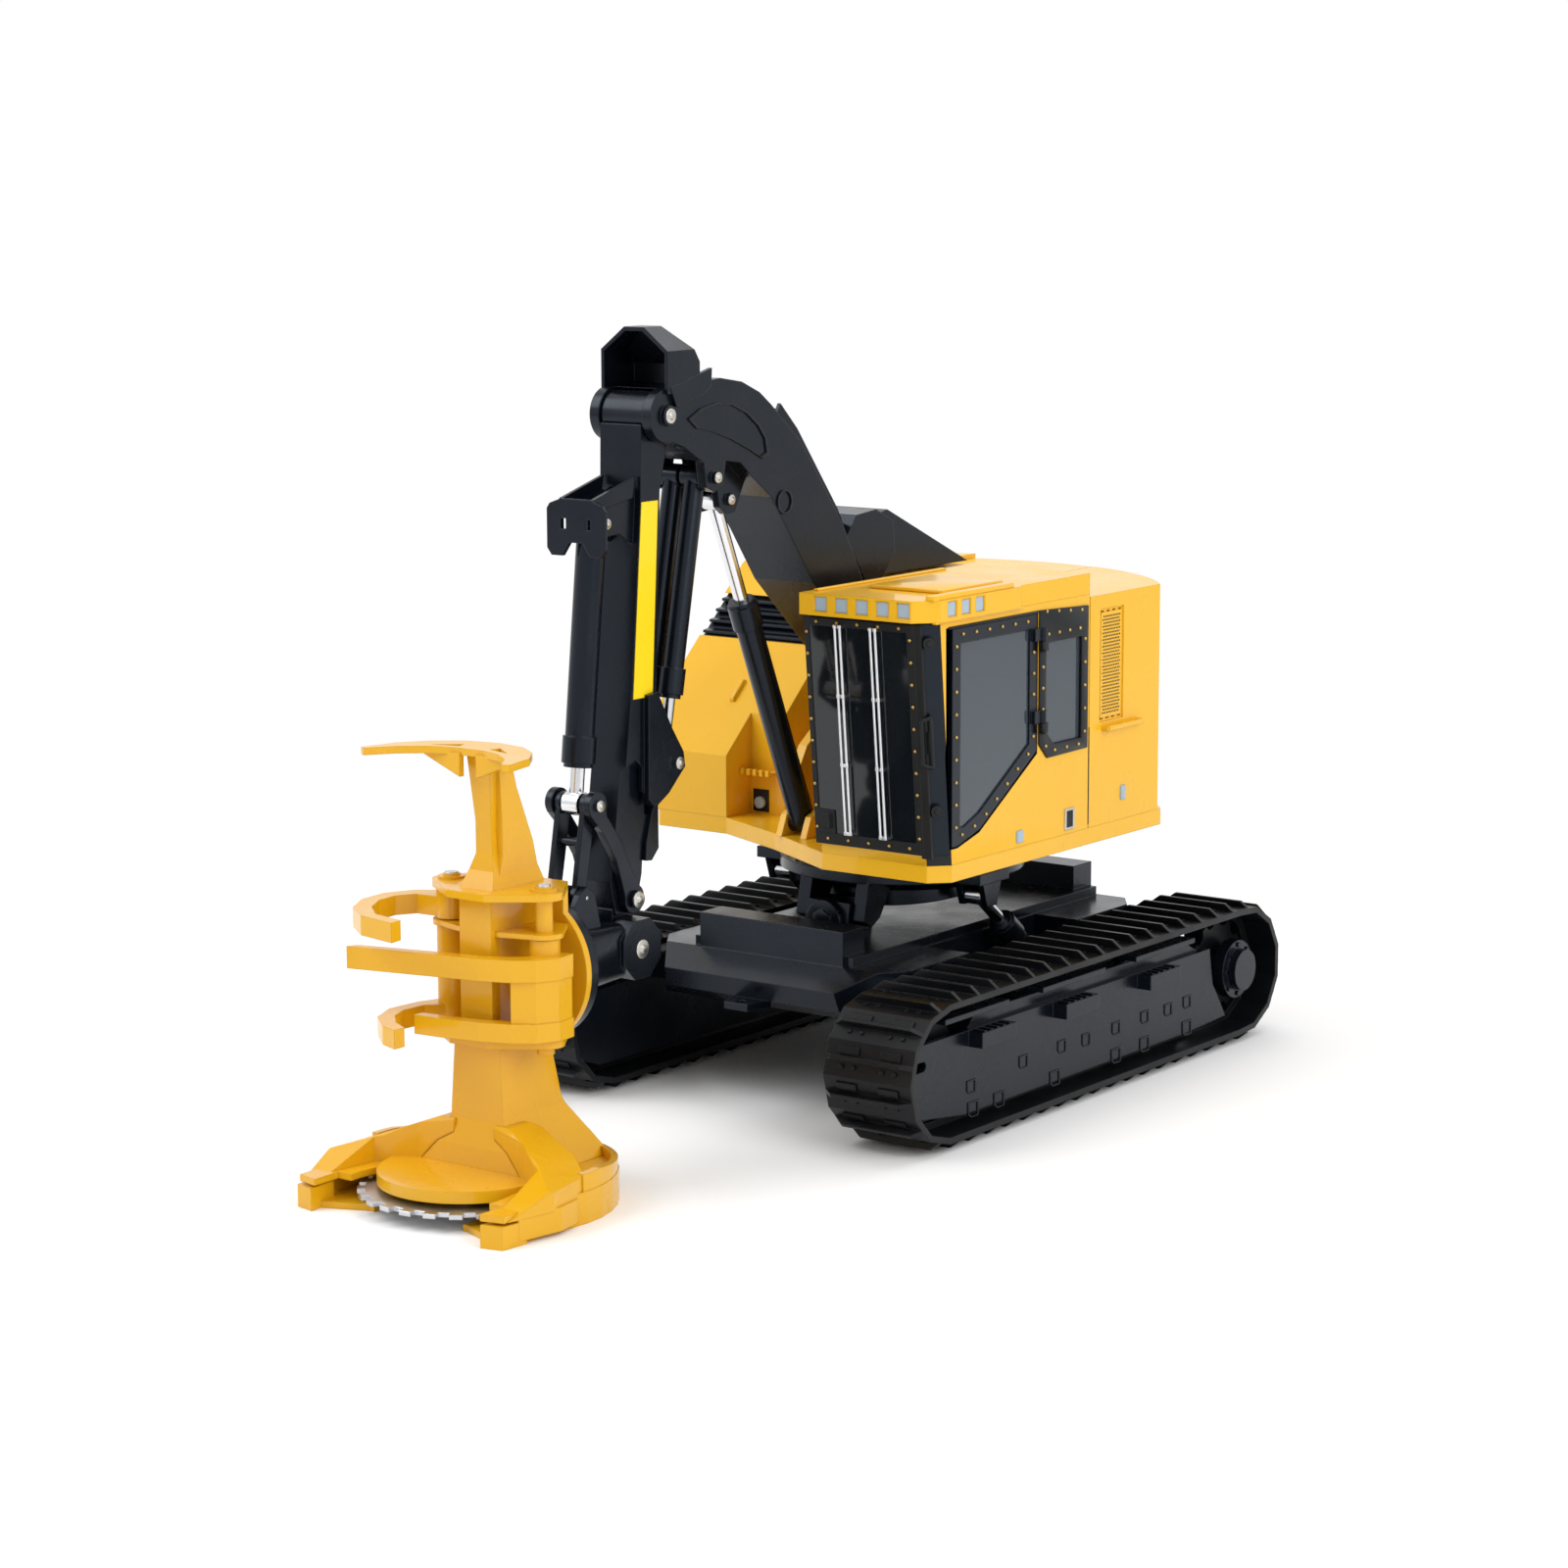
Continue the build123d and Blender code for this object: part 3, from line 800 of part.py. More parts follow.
for side in (1, -1):
    x0, x1 = sorted((side * (STICK_HALF_WIDTH - 1.0), side * STICK_HALF_WIDTH))
    gussets.append(side_plate([(-96.0, 90.0), (-91.4, 92.0), (-91.4, 74.0), (-93.0, 71.0), (-96.6, 73.0)], x0, x1))
    x0, x1 = sorted((side * (STICK_HALF_WIDTH - 0.6), side * GUSSET_OUT))
    plate = side_plate([(-95.8, 92.0), (-93.0, 92.4), (-88.4, 84.6), (eye_y + 2.1, eye_z + 2.0),
                        (eye_y + 2.6, eye_z - 1.0), (-89.6, 72.0), (-94.0, 69.6), (-96.0, 71.5)], x0, x1)
    x2, x3 = sorted((side * (STICK_HALF_WIDTH - 0.7), side * GUSSET_IN))
    gussets.append(plate - block(x2, x3, -94.2, -80.0, 60.0, 100.0))
    x0, x1 = sorted((side * (GUSSET_IN + 0.4), side * (GUSSET_OUT + 0.7)))
    gussets.append(pin_x(eye_y, eye_z, 1.2, x0, x1))
gussets.append(pin_x(ROCKER_Y, ROCKER_Z, 1.6, -LEVER_X - 1.8, LEVER_X + 1.8))
TILT_HALF = 1.9
top_y, top_z = TILT_CYL_TOP_Y, TILT_CYL_TOP_Z
for side in (1, -1):
    x0, x1 = sorted((side * (TILT_HALF + 0.2), side * (TILT_HALF + 1.6)))
    gussets.append(side_plate([(-95.0, 133.0), (top_y - 1.0, top_z + 2.6), (top_y - 2.6, top_z - 0.5),
                               (top_y + 0.4, top_z - 2.5), (-101.0, 123.8), (-96.0, 121.0)], x0, x1))
gussets.append(pin_x(top_y, top_z, 1.2, -TILT_HALF - 1.9, TILT_HALF + 1.9))
nodes["stick"] = fuse_all([stick] + gussets) - block(-GUSSET_IN, GUSSET_IN, -94.2, -80.0, 68.0, 88.0)

# Lamp guard in front of the tilt cylinder's head: a notched plate on two arms
guard_y = top_y - 5.0
lamp_guard = front_plate([(-7.1, 129.0), (-6.4, 130.0), (-3.6, 131.0), (3.6, 131.0), (6.4, 130.0), (7.1, 129.0),
                          (7.1, 121.4), (6.0, 120.0), (3.4, 120.0), (1.6, 122.6), (-1.6, 122.6), (-3.4, 120.0),
                          (-6.0, 120.0), (-7.1, 121.4)], guard_y, guard_y + 0.9)
for x in (-3.0, 3.0):
    lamp_guard -= block(x - 0.6, x + 0.6, guard_y - 1, guard_y + 2, 125.2, 127.2)
for side in (1, -1):
    x0, x1 = sorted((side * (TILT_HALF + 1.6), side * (TILT_HALF + 2.4)))
    lamp_guard += side_plate([(guard_y + 0.4, 131.0), (guard_y + 0.4, 128.6), (-97.8, 130.5), (-97.0, 134.5)], x0, x1)
nodes["stick_lamp_guard"] = lamp_guard - nodes["stick"]
rear_guard = side_plate([(-91.9, 71.2), (-90.9, 69.6), (-90.8, 61.0), (-93.0, 58.8), (-94.9, 59.0),
                         (-94.6, 62.6)], -4.4, 4.4)
nodes["stick_rear_guard"] = rear_guard - nodes["stick"]

stick_barrels, stick_rods = ram((STICK_CYL_TOP_Y, STICK_CYL_TOP_Z), (STICK_CYL_EYE_Y, STICK_CYL_EYE_Z),
                                (STICK_CYL_X, -STICK_CYL_X), STICK_CYL_RADIUS - 0.1, STICK_CYL_ROD_RADIUS,
                                STICK_CYL_LENGTH, STICK_CYL_RADIUS, 1.2, 8.0)
nodes["stick_cylinder_barrels"] = stick_barrels
nodes["stick_cylinder_rods"] = stick_rods

# Wrist linkage
tilt_barrel, tilt_rod = ram((TILT_CYL_TOP_Y, TILT_CYL_TOP_Z), (LINK_TOP_Y, LINK_TOP_Z), (0,), TILT_CYL_RADIUS,
                            TILT_CYL_ROD_RADIUS, TILT_CYL_LENGTH, TILT_HALF, 1.2, 12.0)
nodes["tilt_cylinder_barrel"] = tilt_barrel
nodes["tilt_cylinder_rod"] = tilt_rod
lever_outline = [(ROCKER_Y + 2.7, ROCKER_Z + 0.8), (-100.2, 57.5), (-103.9, 64.4), (-108.3, 70.0),
                 (LINK_TOP_Y + 2.0, LINK_TOP_Z + 1.9), (LINK_TOP_Y - 2.2, LINK_TOP_Z - 1.7), (-109.6, 67.0),
                 (-105.4, 60.8), (-103.0, 54.0), (ROCKER_Y - 2.4, ROCKER_Z - 1.4)]
levers = []
for side in (1, -1):
    low, high = sorted((side * (LEVER_X - LEVER_THICKNESS / 2), side * (LEVER_X + LEVER_THICKNESS / 2)))
    lever = side_plate(lever_outline, low, high)
    lever += pin_x(ROCKER_Y, ROCKER_Z, 2.9, low, high)
    lever += pin_x(LINK_TOP_Y, LINK_TOP_Z, 2.7, low, high)
    lever -= pin_x(ROCKER_Y, ROCKER_Z, 1.6 + PIN_FIT, low - 1, high + 1)
    lever += pin_x(LINK_TOP_Y, LINK_TOP_Z, 1.1, *sorted((side * (TILT_HALF + FIT), side * (LEVER_X + 1.4))))
    levers.append(lever)
nodes["rocker_levers"] = Compound(children=levers)
links = []
for side in (1, -1):
    low, high = sorted((side * (LINK_X - LINK_THICKNESS / 2), side * (LINK_X + LINK_THICKNESS / 2)))
    bar = pin_x(LINK_TOP_Y, LINK_TOP_Z, 2.1, low, high) + pin_x(WRIST_LUG_Y, WRIST_LUG_Z, 2.1, low, high)
    bar += side_plate([(LINK_TOP_Y - 1.7, LINK_TOP_Z), (LINK_TOP_Y + 1.7, LINK_TOP_Z),
                       (WRIST_LUG_Y + 1.5, WRIST_LUG_Z), (WRIST_LUG_Y - 1.5, WRIST_LUG_Z)], low, high)
    bar -= pin_x(LINK_TOP_Y, LINK_TOP_Z, 1.1 + PIN_FIT, low - 1, high + 1)
    links.append(bar)
tie_y = LINK_TOP_Y + (WRIST_LUG_Y - LINK_TOP_Y) * 0.42
tie_z = LINK_TOP_Z + (WRIST_LUG_Z - LINK_TOP_Z) * 0.42
nodes["wrist_links"] = links[0] + links[1] + pin_x(tie_y, tie_z, 0.9, -LINK_X, LINK_X)

# Wrist: an eight-sided housing on the stick end, a knuckle and a round flange
WRIST_RADIUS = 6.3
octagon = [(WRIST_Y + WRIST_RADIUS * cos(radians(22.5 + 45 * i)), WRIST_Z + WRIST_RADIUS * sin(radians(22.5 + 45 * i)))
           for i in range(8)]
wrist = side_plate(octagon, -8.0, 8.0)
neck_start = Plane.XZ.offset(-(WRIST_Y - 4.0)) * Pos(0, WRIST_Z) * RectangleRounded(14, 11, 2)
neck_end = Plane.XZ.offset(-(HEAD_FACE_Y + 5.0)) * Pos(0, HEAD_AXIS_Z) * Circle(8.4)
wrist += loft([neck_start, neck_end])
wrist += pin_y(0, HEAD_AXIS_Z, 12.0, HEAD_FACE_Y + 2.4, HEAD_FACE_Y + 5.2)
wrist += pin_y(0, HEAD_AXIS_Z, 14.2, HEAD_FACE_Y + FIT, HEAD_FACE_Y + 2.6)
LUG_HALF = LINK_X - LINK_THICKNESS / 2 - 0.25
wrist += side_plate([(-121.0, 50.0), (WRIST_LUG_Y - 3.0, WRIST_LUG_Z + 1.2), (WRIST_LUG_Y - 0.6, WRIST_LUG_Z + 2.2),
                     (WRIST_LUG_Y + 1.8, WRIST_LUG_Z + 1.2), (-109.6, 48.0)], -LUG_HALF, LUG_HALF)
for side in (1, -1):
    x0, x1 = sorted((side * (LINK_X + LINK_THICKNESS / 2 + 0.3), side * (LINK_X + LINK_THICKNESS / 2 + 1.7)))
    wrist += side_plate([(-120.5, 49.0), (WRIST_LUG_Y - 2.4, WRIST_LUG_Z + 0.8), (WRIST_LUG_Y, WRIST_LUG_Z + 2.2),
                         (WRIST_LUG_Y + 2.2, WRIST_LUG_Z + 0.8), (-110.0, 47.6)], x0, x1)
slot_half = TONGUE_HALF + FIT
slot_cut = pin_x(WRIST_Y, WRIST_Z, TONGUE_RADIUS + 0.4, -slot_half, slot_half)
slot_cut += side_plate([(WRIST_Y - 4.6, WRIST_Z), (WRIST_Y - 8.2, 52.0), (WRIST_Y + 13.0, 52.0),
                        (WRIST_Y + 8.0, WRIST_Z - 1.5)], -slot_half, slot_half)
wrist -= slot_cut
link_slot = LINK_THICKNESS / 2 + 0.3
for side in (1, -1):
    x0, x1 = sorted((side * (LINK_X - link_slot), side * (LINK_X + link_slot)))
    wrist -= pin_x(WRIST_LUG_Y, WRIST_LUG_Z, 2.8, x0, x1)
    wrist -= side_plate([(WRIST_LUG_Y - 4.2, WRIST_LUG_Z + 4), (WRIST_LUG_Y - 2.7, WRIST_LUG_Z - 0.6),
                         (WRIST_LUG_Y + 2.7, WRIST_LUG_Z - 0.6), (WRIST_LUG_Y + 12, WRIST_LUG_Z - 3),
                         (WRIST_LUG_Y + 12, WRIST_LUG_Z + 4)], x0, x1)
wrist -= block(-9, 9, -107.0, -90.0, 49.0, 60.0)
wrist += pin_x(WRIST_Y, WRIST_Z, BOOM_PIN_RADIUS, -slot_half - 2, slot_half + 2)
wrist += pin_x(WRIST_LUG_Y, WRIST_LUG_Z, 1.0, -LUG_HALF - 0.2, LUG_HALF + 0.2)
nodes["wrist"] = wrist

# Felling head: column between two plates that carry the arm pins, upper post and lower post
back_plate = pin_y(0, HEAD_AXIS_Z, 14.6, HEAD_FACE_Y - 1.5, HEAD_FACE_Y)
back_plate += block(-9.0, 9.0, HEAD_FACE_Y - 1.5, HEAD_FACE_Y, PLATE_LOW, PLATE_TOP)
column = block(-COLUMN_HALF_WIDTH, COLUMN_HALF_WIDTH, COLUMN_FRONT_Y, HEAD_FACE_Y - 1, PLATE_LOW, PLATE_TOP)


def arm_plate(z0, z1, front_y):
    """A level plate from the back plate to the two arm pins, with a round ear at each."""
    plate = plan_plate([(-9.0, HEAD_FACE_Y), (-ARM_X - 2.6, ARM_Y + 2.6), (-ARM_X - 2.2, ARM_Y - 3.0),
                        (-4.6, front_y), (4.6, front_y), (ARM_X + 2.2, ARM_Y - 3.0),
                        (ARM_X + 2.6, ARM_Y + 2.6), (9.0, HEAD_FACE_Y)], z0, z1)
    plate += pin_z(ARM_X, ARM_Y, ARM_EAR_RADIUS, z0, z1)
    return plate + pin_z(-ARM_X, ARM_Y, ARM_EAR_RADIUS, z0, z1)


frame = [back_plate, column, arm_plate(PLATE_TOP - 1.5, PLATE_TOP, COLUMN_FRONT_Y - 3.0),
         arm_plate(PLATE_LOW, PLATE_LOW + 1.5, COLUMN_FRONT_Y - 2.6),
         arm_plate(51.4, 52.4, COLUMN_FRONT_Y + 1.0)]
for side in (1, -1):
    frame.append(pin_z(side * ARM_X, ARM_Y, ARM_PIN_RADIUS, PLATE_LOW - 1.6, PLATE_TOP + 0.9))
    frame.append(pin_z(side * ARM_X, ARM_Y, ARM_PIN_RADIUS + 0.9, PLATE_TOP, PLATE_TOP + 0.5))
post = side_plate([(-140.6, PLATE_TOP), (-139.0, 63.5), (-138.0, 67.0), (-138.0, 70.5), (-139.4, HORN_LOW),
                   (-134.2, HORN_LOW), (-133.1, 81.3), (-127.6, 68.9), (-125.6, PLATE_TOP)], -5.0, 5.0)
post &= front_plate([(-4.1, PLATE_TOP), (-2.0, 66.5), (-1.8, 71.0), (-2.8, HORN_LOW), (2.8, HORN_LOW),
                     (1.8, 71.0), (2.0, 66.5), (4.1, PLATE_TOP)], -150, -120)
post += side_plate([(-138.4, PLATE_TOP), (-136.6, 66.5), (-136.6, 72.0), (-137.4, HORN_LOW),
                    (-134.2, HORN_LOW), (-132.4, 79.0), (-127.8, 68.0), (-125.8, PLATE_TOP)], -3.3, 3.3)
lower_post = side_plate([(-141.0, PLATE_LOW), (-141.4, 16.0), (-143.0, 11.0), (-143.8, COVER_TOP), (-117.5, COVER_TOP),
                         (-119.5, 11.0), (-124.0, 18.0), (-126.6, PLATE_LOW)], -14.0, 14.0)
lower_post &= front_plate([(-5.6, PLATE_LOW), (-6.4, 16.5), (-9.0, 11.5), (-13.0, COVER_TOP), (13.0, COVER_TOP),
                           (9.0, 11.5), (6.4, 16.5), (5.6, PLATE_LOW)], -150, -110)
nodes["head_frame"] = fuse_all(frame + [post, lower_post])

# Horn on top of the post: a crescent with two prongs, a slot beside the post and a web below
horn_half = [(0.0, -133.2), (7.0, -134.6), (12.6, -138.6), (16.4, -144.0), (18.2, -151.6), (16.8, -152.4),
             (13.4, -147.4), (8.6, -143.6), (3.4, -142.0), (0.0, -142.0)]
horn = plan_plate(horn_half + [(-x, y) for x, y in horn_half[-2:0:-1]], HORN_LOW, HORN_TOP)
for side in (1, -1):
    horn -= plan_plate([(side * 3.6, -140.4), (side * 4.4, -138.2), (side * 9.4, -142.0)], HORN_LOW - 1, HORN_TOP + 1)
    horn += front_plate([(side * 2.0, HORN_LOW + 0.5), (side * 2.0, HORN_LOW - 4.0), (side * 8.0, HORN_LOW - 1.6),
                         (side * 13.0, HORN_LOW + 0.5)], -142.4, -141.2) & plan_plate(
        [(side * 1.0, -143), (side * 14.0, -143), (side * 14.0, -141), (side * 1.0, -141)], 70, HORN_TOP)
nodes["head_horn"] = horn - nodes["head_frame"]

# Base of the head: skid ring, cover over the saw, butt plate, rear wall and two legs
base_arc = [(BASE_RADIUS * cos(radians(a)), BASE_Y + BASE_RADIUS * sin(radians(a))) for a in range(-20, 201, 10)]
tip_x = 22.6
base_outline = [(tip_x - 1.5, HEAD_TIP_Y), (tip_x + 2.6, HEAD_TIP_Y + 1.0)] + base_arc + [
    (-tip_x - 2.6, HEAD_TIP_Y + 1.0), (-tip_x + 1.5, HEAD_TIP_Y)]
cover = plan_plate(base_outline, COVER_LOW, COVER_TOP)
cover -= pin_z(0, SAW_Y - 12.0, 17.2, COVER_LOW - 1, COVER_TOP + 1)
cover -= block(-tip_x + 2.2, tip_x - 2.2, -170, -158, COVER_LOW - 1, COVER_TOP + 1)
butt_plate = pin_z(0, SAW_Y, SAW_RADIUS - 2.2, COVER_LOW, BUTT_TOP)
skid = plan_plate(base_outline, 0.0, 1.3) - pin_z(0, SAW_Y, 15.0, -1, 3)
skid -= block(-11.0, 11.0, -170, -150, -1, 3)
skid -= plan_plate([(-tip_x + 1.0, -170), (-tip_x + 1.0, HEAD_TIP_Y + 2), (-12, -158.5), (12, -158.5),
                    (tip_x - 1.0, HEAD_TIP_Y + 2), (tip_x - 1.0, -170)], -1, 3)
wall = plan_plate(base_outline, 0.8, COVER_TOP) - pin_z(0, BASE_Y, BASE_RADIUS - 1.8, 0, 9)
wall -= block(-40, 40, -170, SAW_Y - 1, 0, 9)
rear_rim = pin_z(0, BASE_Y, BASE_RADIUS - 0.2, COVER_TOP - 0.5, 9.6) - pin_z(0, BASE_Y, BASE_RADIUS - 1.6, 4, 12)
rear_rim -= side_plate([(-170, 5), (-170, 20), (-112, 20), (-112, 7.2), (-128, 8.6), (-142, 10.2), (-142, 5)], -40, 40)
leg_top = side_plate([(HEAD_TIP_Y - 1, 0.0), (HEAD_TIP_Y - 1, 4.2), (-160.5, 5.6), (-147.0, 11.2), (-142.0, 15.6),
                      (-136.0, 15.6), (-126.0, 8.0), (-126.0, 0.0)], -40, 40)
leg_front = front_plate([(-28.0, 0.0), (-28.0, 8.4), (-22.5, 10.2), (-8.0, 15.8), (8.0, 15.8), (22.5, 10.2),
                         (28.0, 8.4), (28.0, 0.0)], -170, -110)
legs = []
for side in (1, -1):
    leg = plan_plate([(side * 5.0, -142.4), (side * 13.0, -143.8), (side * 20.4, -148.0), (side * 21.6, HEAD_TIP_Y + 2),
                      (side * 25.4, HEAD_TIP_Y + 2), (side * 27.4, -152.0), (side * 25.8, -141.0),
                      (side * 20.0, -137.0), (side * 5.0, -134.0)], COVER_LOW, 20)
    legs.append(leg & leg_top & leg_front)
    legs.append(plan_plate([(side * (tip_x - 1.7), HEAD_TIP_Y - 0.6), (side * (tip_x + 2.7), HEAD_TIP_Y + 0.4),
                            (side * (tip_x + 3.4), -158.0), (side * (tip_x - 1.0), -158.0)], 0.0, 4.4))
    legs.append(plan_plate([(side * (tip_x - 1.0), -160.0), (side * (tip_x + 3.2), -160.0), (side * 27.6, -150.0),
                            (side * 26.6, SAW_Y), (side * 24.6, SAW_Y), (side * 24.0, -152.0)], 0.8, COVER_LOW + 0.5))
base = fuse_all([cover, butt_plate, skid, wall, rear_rim] + legs) - nodes["head_frame"]
base -= pin_z(0, SAW_Y, SAW_HUB_RADIUS + PIN_FIT, 0, COVER_TOP)
saw_room = pin_z(0, SAW_Y, SAW_RADIUS + 2.4, 1.4, COVER_LOW - 0.1)
nodes["head_base"] = base - saw_room

saw = []
for i in range(SAW_TEETH):
    for lean, reach in ((-0.28, SAW_RADIUS + 1.5), (0.22, SAW_RADIUS + 1.5), (0.24, SAW_RADIUS), (0.70, SAW_RADIUS)):
        turn = 2 * pi * (i + lean) / SAW_TEETH
        saw.append((reach * cos(turn), SAW_Y + reach * sin(turn)))
saw_disc = plan_plate(saw, SAW_Z - SAW_THICKNESS / 2, SAW_Z + SAW_THICKNESS / 2)
saw_disc += pin_z(0, SAW_Y, SAW_HUB_RADIUS, SAW_Z - 1.4, COVER_TOP - 0.4)
nodes["saw_disc"] = saw_disc


def finger(side, z0, z1, points):
    """A curved arm finger hooked about the tree pocket, as (x, y) points mirrored by side."""
    return plan_plate([(side * x, y) for x, y in points], z0, z1)


def arm_hub(side, z0, z1):
    return pin_z(side * ARM_X, ARM_Y, ARM_HUB_RADIUS, z0, z1)


long_finger = [(ARM_X - 1.0, ARM_Y - 3.4), (ARM_X - 1.0, ARM_Y + 2.6), (15.8, -131.4), (16.2, -136.0), (14.0, -140.2),
               (10.0, -143.0), (4.0, -145.2), (-4.0, -146.8), (-14.0, -149.0), (-23.6, -151.0), (-22.8, -148.8),
               (-13.0, -146.4), (-4.0, -144.2), (3.0, -142.8), (8.0, -140.4)]
low_finger = [(ARM_X - 1.0, ARM_Y - 3.4), (ARM_X - 1.0, ARM_Y + 2.6), (15.8, -131.4), (16.2, -136.0), (14.0, -140.2),
              (10.0, -143.0), (4.0, -145.2), (-4.0, -146.6), (-10.2, -147.2), (-10.0, -145.0), (-4.0, -144.2),
              (3.0, -142.8), (8.0, -140.4)]
right_arm = fuse_all([arm_hub(1, PLATE_LOW + 1.7, 51.2), finger(1, 43.9, 48.2, long_finger),
                      finger(1, PLATE_LOW + 1.7, 36.0, low_finger),
                      finger(1, 35.5, 44.4, [(ARM_X, ARM_Y + 2.4), (15.6, -131.6), (16.0, -136.0), (13.8, -140.0),
                                             (9.6, -142.4), (8.8, -141.0), (12.4, -138.4), (13.8, -135.4)])])
nodes["right_arm"] = right_arm - pin_z(ARM_X, ARM_Y, ARM_PIN_RADIUS + PIN_FIT, 20, 70)
high_finger = [(ARM_X - 1.6, ARM_Y - 2.6), (ARM_X - 1.0, ARM_Y + 2.8), (15.4, -131.2), (20.6, -134.6), (23.4, -140.4),
               (22.8, -147.4), (18.8, -154.2), (12.4, -159.0), (3.0, -161.0), (3.4, -158.0), (11.0, -156.4),
               (16.2, -151.8), (19.4, -146.2), (19.8, -141.2), (17.6, -137.6)]
hook_finger = [(ARM_X - 0.6, ARM_Y - 2.8), (ARM_X - 1.0, ARM_Y + 2.8), (14.6, -132.0), (17.0, -138.4), (17.6, -146.0),
               (14.6, -152.6), (9.0, -157.4), (4.6, -159.0), (4.6, -156.2), (8.4, -154.2), (12.6, -150.0), (14.4, -145.4),
               (14.0, -140.0)]
left_arm = fuse_all([arm_hub(-1, PLATE_LOW + 1.7, 51.2), finger(-1, PLATE_LOW + 1.7, 36.0, hook_finger)])
left_arm -= pin_z(-ARM_X, ARM_Y, ARM_PIN_RADIUS + PIN_FIT, 20, 70)
upper = fuse_all([arm_hub(-1, 52.6, PLATE_TOP - 1.7), finger(-1, 53.0, 56.8, high_finger)])
upper -= pin_z(-ARM_X, ARM_Y, ARM_PIN_RADIUS + PIN_FIT, 20, 70)
nodes["left_arm"] = Compound(children=[left_arm, upper])

whole = Compound([solid for shape in nodes.values() for solid in shape.solids()])
box = whole.bounding_box()
MIDDLE_Y = (box.min.Y + box.max.Y) / 2
for name, shape in nodes.items():
    solids = [Pos(0, -MIDDLE_Y, 0) * solid for solid in shape.solids()]
    part = solids[0] if len(solids) == 1 else Compound(solids)
    export_step(part, "parts/" + name + ".step")
print("MIDDLE_Y", MIDDLE_Y)
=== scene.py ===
"""Looks for a die-cast scale model of a tracked feller buncher."""

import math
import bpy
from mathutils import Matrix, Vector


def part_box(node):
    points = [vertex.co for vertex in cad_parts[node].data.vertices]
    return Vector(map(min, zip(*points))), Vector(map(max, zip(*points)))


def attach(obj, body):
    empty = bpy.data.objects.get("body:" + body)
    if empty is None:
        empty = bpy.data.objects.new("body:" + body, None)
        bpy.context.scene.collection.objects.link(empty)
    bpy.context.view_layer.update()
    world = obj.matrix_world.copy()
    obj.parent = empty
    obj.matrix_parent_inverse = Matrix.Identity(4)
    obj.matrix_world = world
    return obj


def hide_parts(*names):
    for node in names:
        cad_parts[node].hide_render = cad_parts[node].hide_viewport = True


bl_info = {
    "name": "Feller Buncher Model",
    "version": (1, 0, 0),
    "blender": (4, 5, 0),
    "location": "3D View > Sidebar > Feller Buncher",
    "description": "Paint, trim and studio for a scale model of a tracked feller buncher",
    "category": "Object",
}

import bmesh
import bpy
from bpy.props import FloatProperty, FloatVectorProperty, IntProperty, PointerProperty
from mathutils import Matrix, Vector

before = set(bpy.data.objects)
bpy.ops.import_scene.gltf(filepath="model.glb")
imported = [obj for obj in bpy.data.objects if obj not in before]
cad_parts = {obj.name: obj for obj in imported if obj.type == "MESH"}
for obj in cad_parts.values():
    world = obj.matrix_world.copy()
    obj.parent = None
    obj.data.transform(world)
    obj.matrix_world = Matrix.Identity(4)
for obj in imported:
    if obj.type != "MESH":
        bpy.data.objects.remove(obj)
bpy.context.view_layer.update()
MM = 0.001


def srgb(code):
    """An sRGB hex colour as linear RGBA."""
    out = []
    for i in (1, 3, 5):
        value = int(code[i:i + 2], 16) / 255
        out.append(value / 12.92 if value <= 0.04045 else ((value + 0.055) / 1.055) ** 2.4)
    return tuple(out) + (1.0,)


def colour(name, text, code):
    return FloatVectorProperty(name=name, description=text, subtype="COLOR", size=4, min=0.0, max=1.0,
                               default=srgb(code))


def length(name, text, value):
    """A length property; the value is in millimetres."""
    return FloatProperty(name=name, description=text, unit="LENGTH", default=value * MM)


class FinishSettings(bpy.types.PropertyGroup):
    yellow: colour("Body yellow", "Gloss enamel on the house", "#e6af1c")
    ochre: colour("Head yellow", "Gloss enamel on the felling head", "#dba412")
    black: colour("Black enamel", "Satin enamel on boom and undercarriage", "#090d13")
    track: colour("Track black", "Moulded track shoes", "#07090d")
    lens: colour("Lamp lens", "Moulded clear lamp lens", "#9fb0bd")
    glass: colour("Window tint", "Smoked clear plastic", "#59646f")
    stripe: colour("Stripe yellow", "Plain stripe on the stick", "#f2cf12")
    peel: length("Paint texture", "Size of the orange peel in sprayed enamel", 1.4)
    grain: length("Moulding grain", "Size of the grain on moulded plastic", 0.5)


class DetailSettings(bpy.types.PropertyGroup):
    stud: length("Frame stud", "Radius of the brass dots round the windows", 0.38)
    stud_pitch: length("Stud spacing", "Distance between the brass dots", 4.6)
    guard_bar: length("Window bar", "Radius of the bright bars in front of the windscreen", 0.3)
    edge: length("Edge radius", "How round the cast and sheet edges are", 0.35)
    shoe_count: IntProperty(name="Track shoes", description="Shoes in one track loop", default=47)
    wheelbase: length("Wheelbase", "Distance between the two track wheels", 118.0)
    wheel_radius: length("Track wheel", "Radius of the pitch line round a track wheel", 12.93)


class StudioSettings(bpy.types.PropertyGroup):
    lens: FloatProperty(name="Focal length", description="Camera lens in millimetres on a 36 mm sensor",
                        default=88.84)
    key: FloatProperty(name="Key light", description="Power of the large soft light", unit="POWER", default=5.2)
    fill: FloatProperty(name="Room light", description="Strength of the white room", default=0.62)


def settings(context):
    return context.scene.buncher_finish


SLEW = sum(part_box("slewing_ring"), Vector()) / 2


def at(x, y, z):
    """A point given in millimetres from the slewing axis on the ground, in the row's frame."""
    return Vector((x * MM, SLEW.y + y * MM, z * MM))


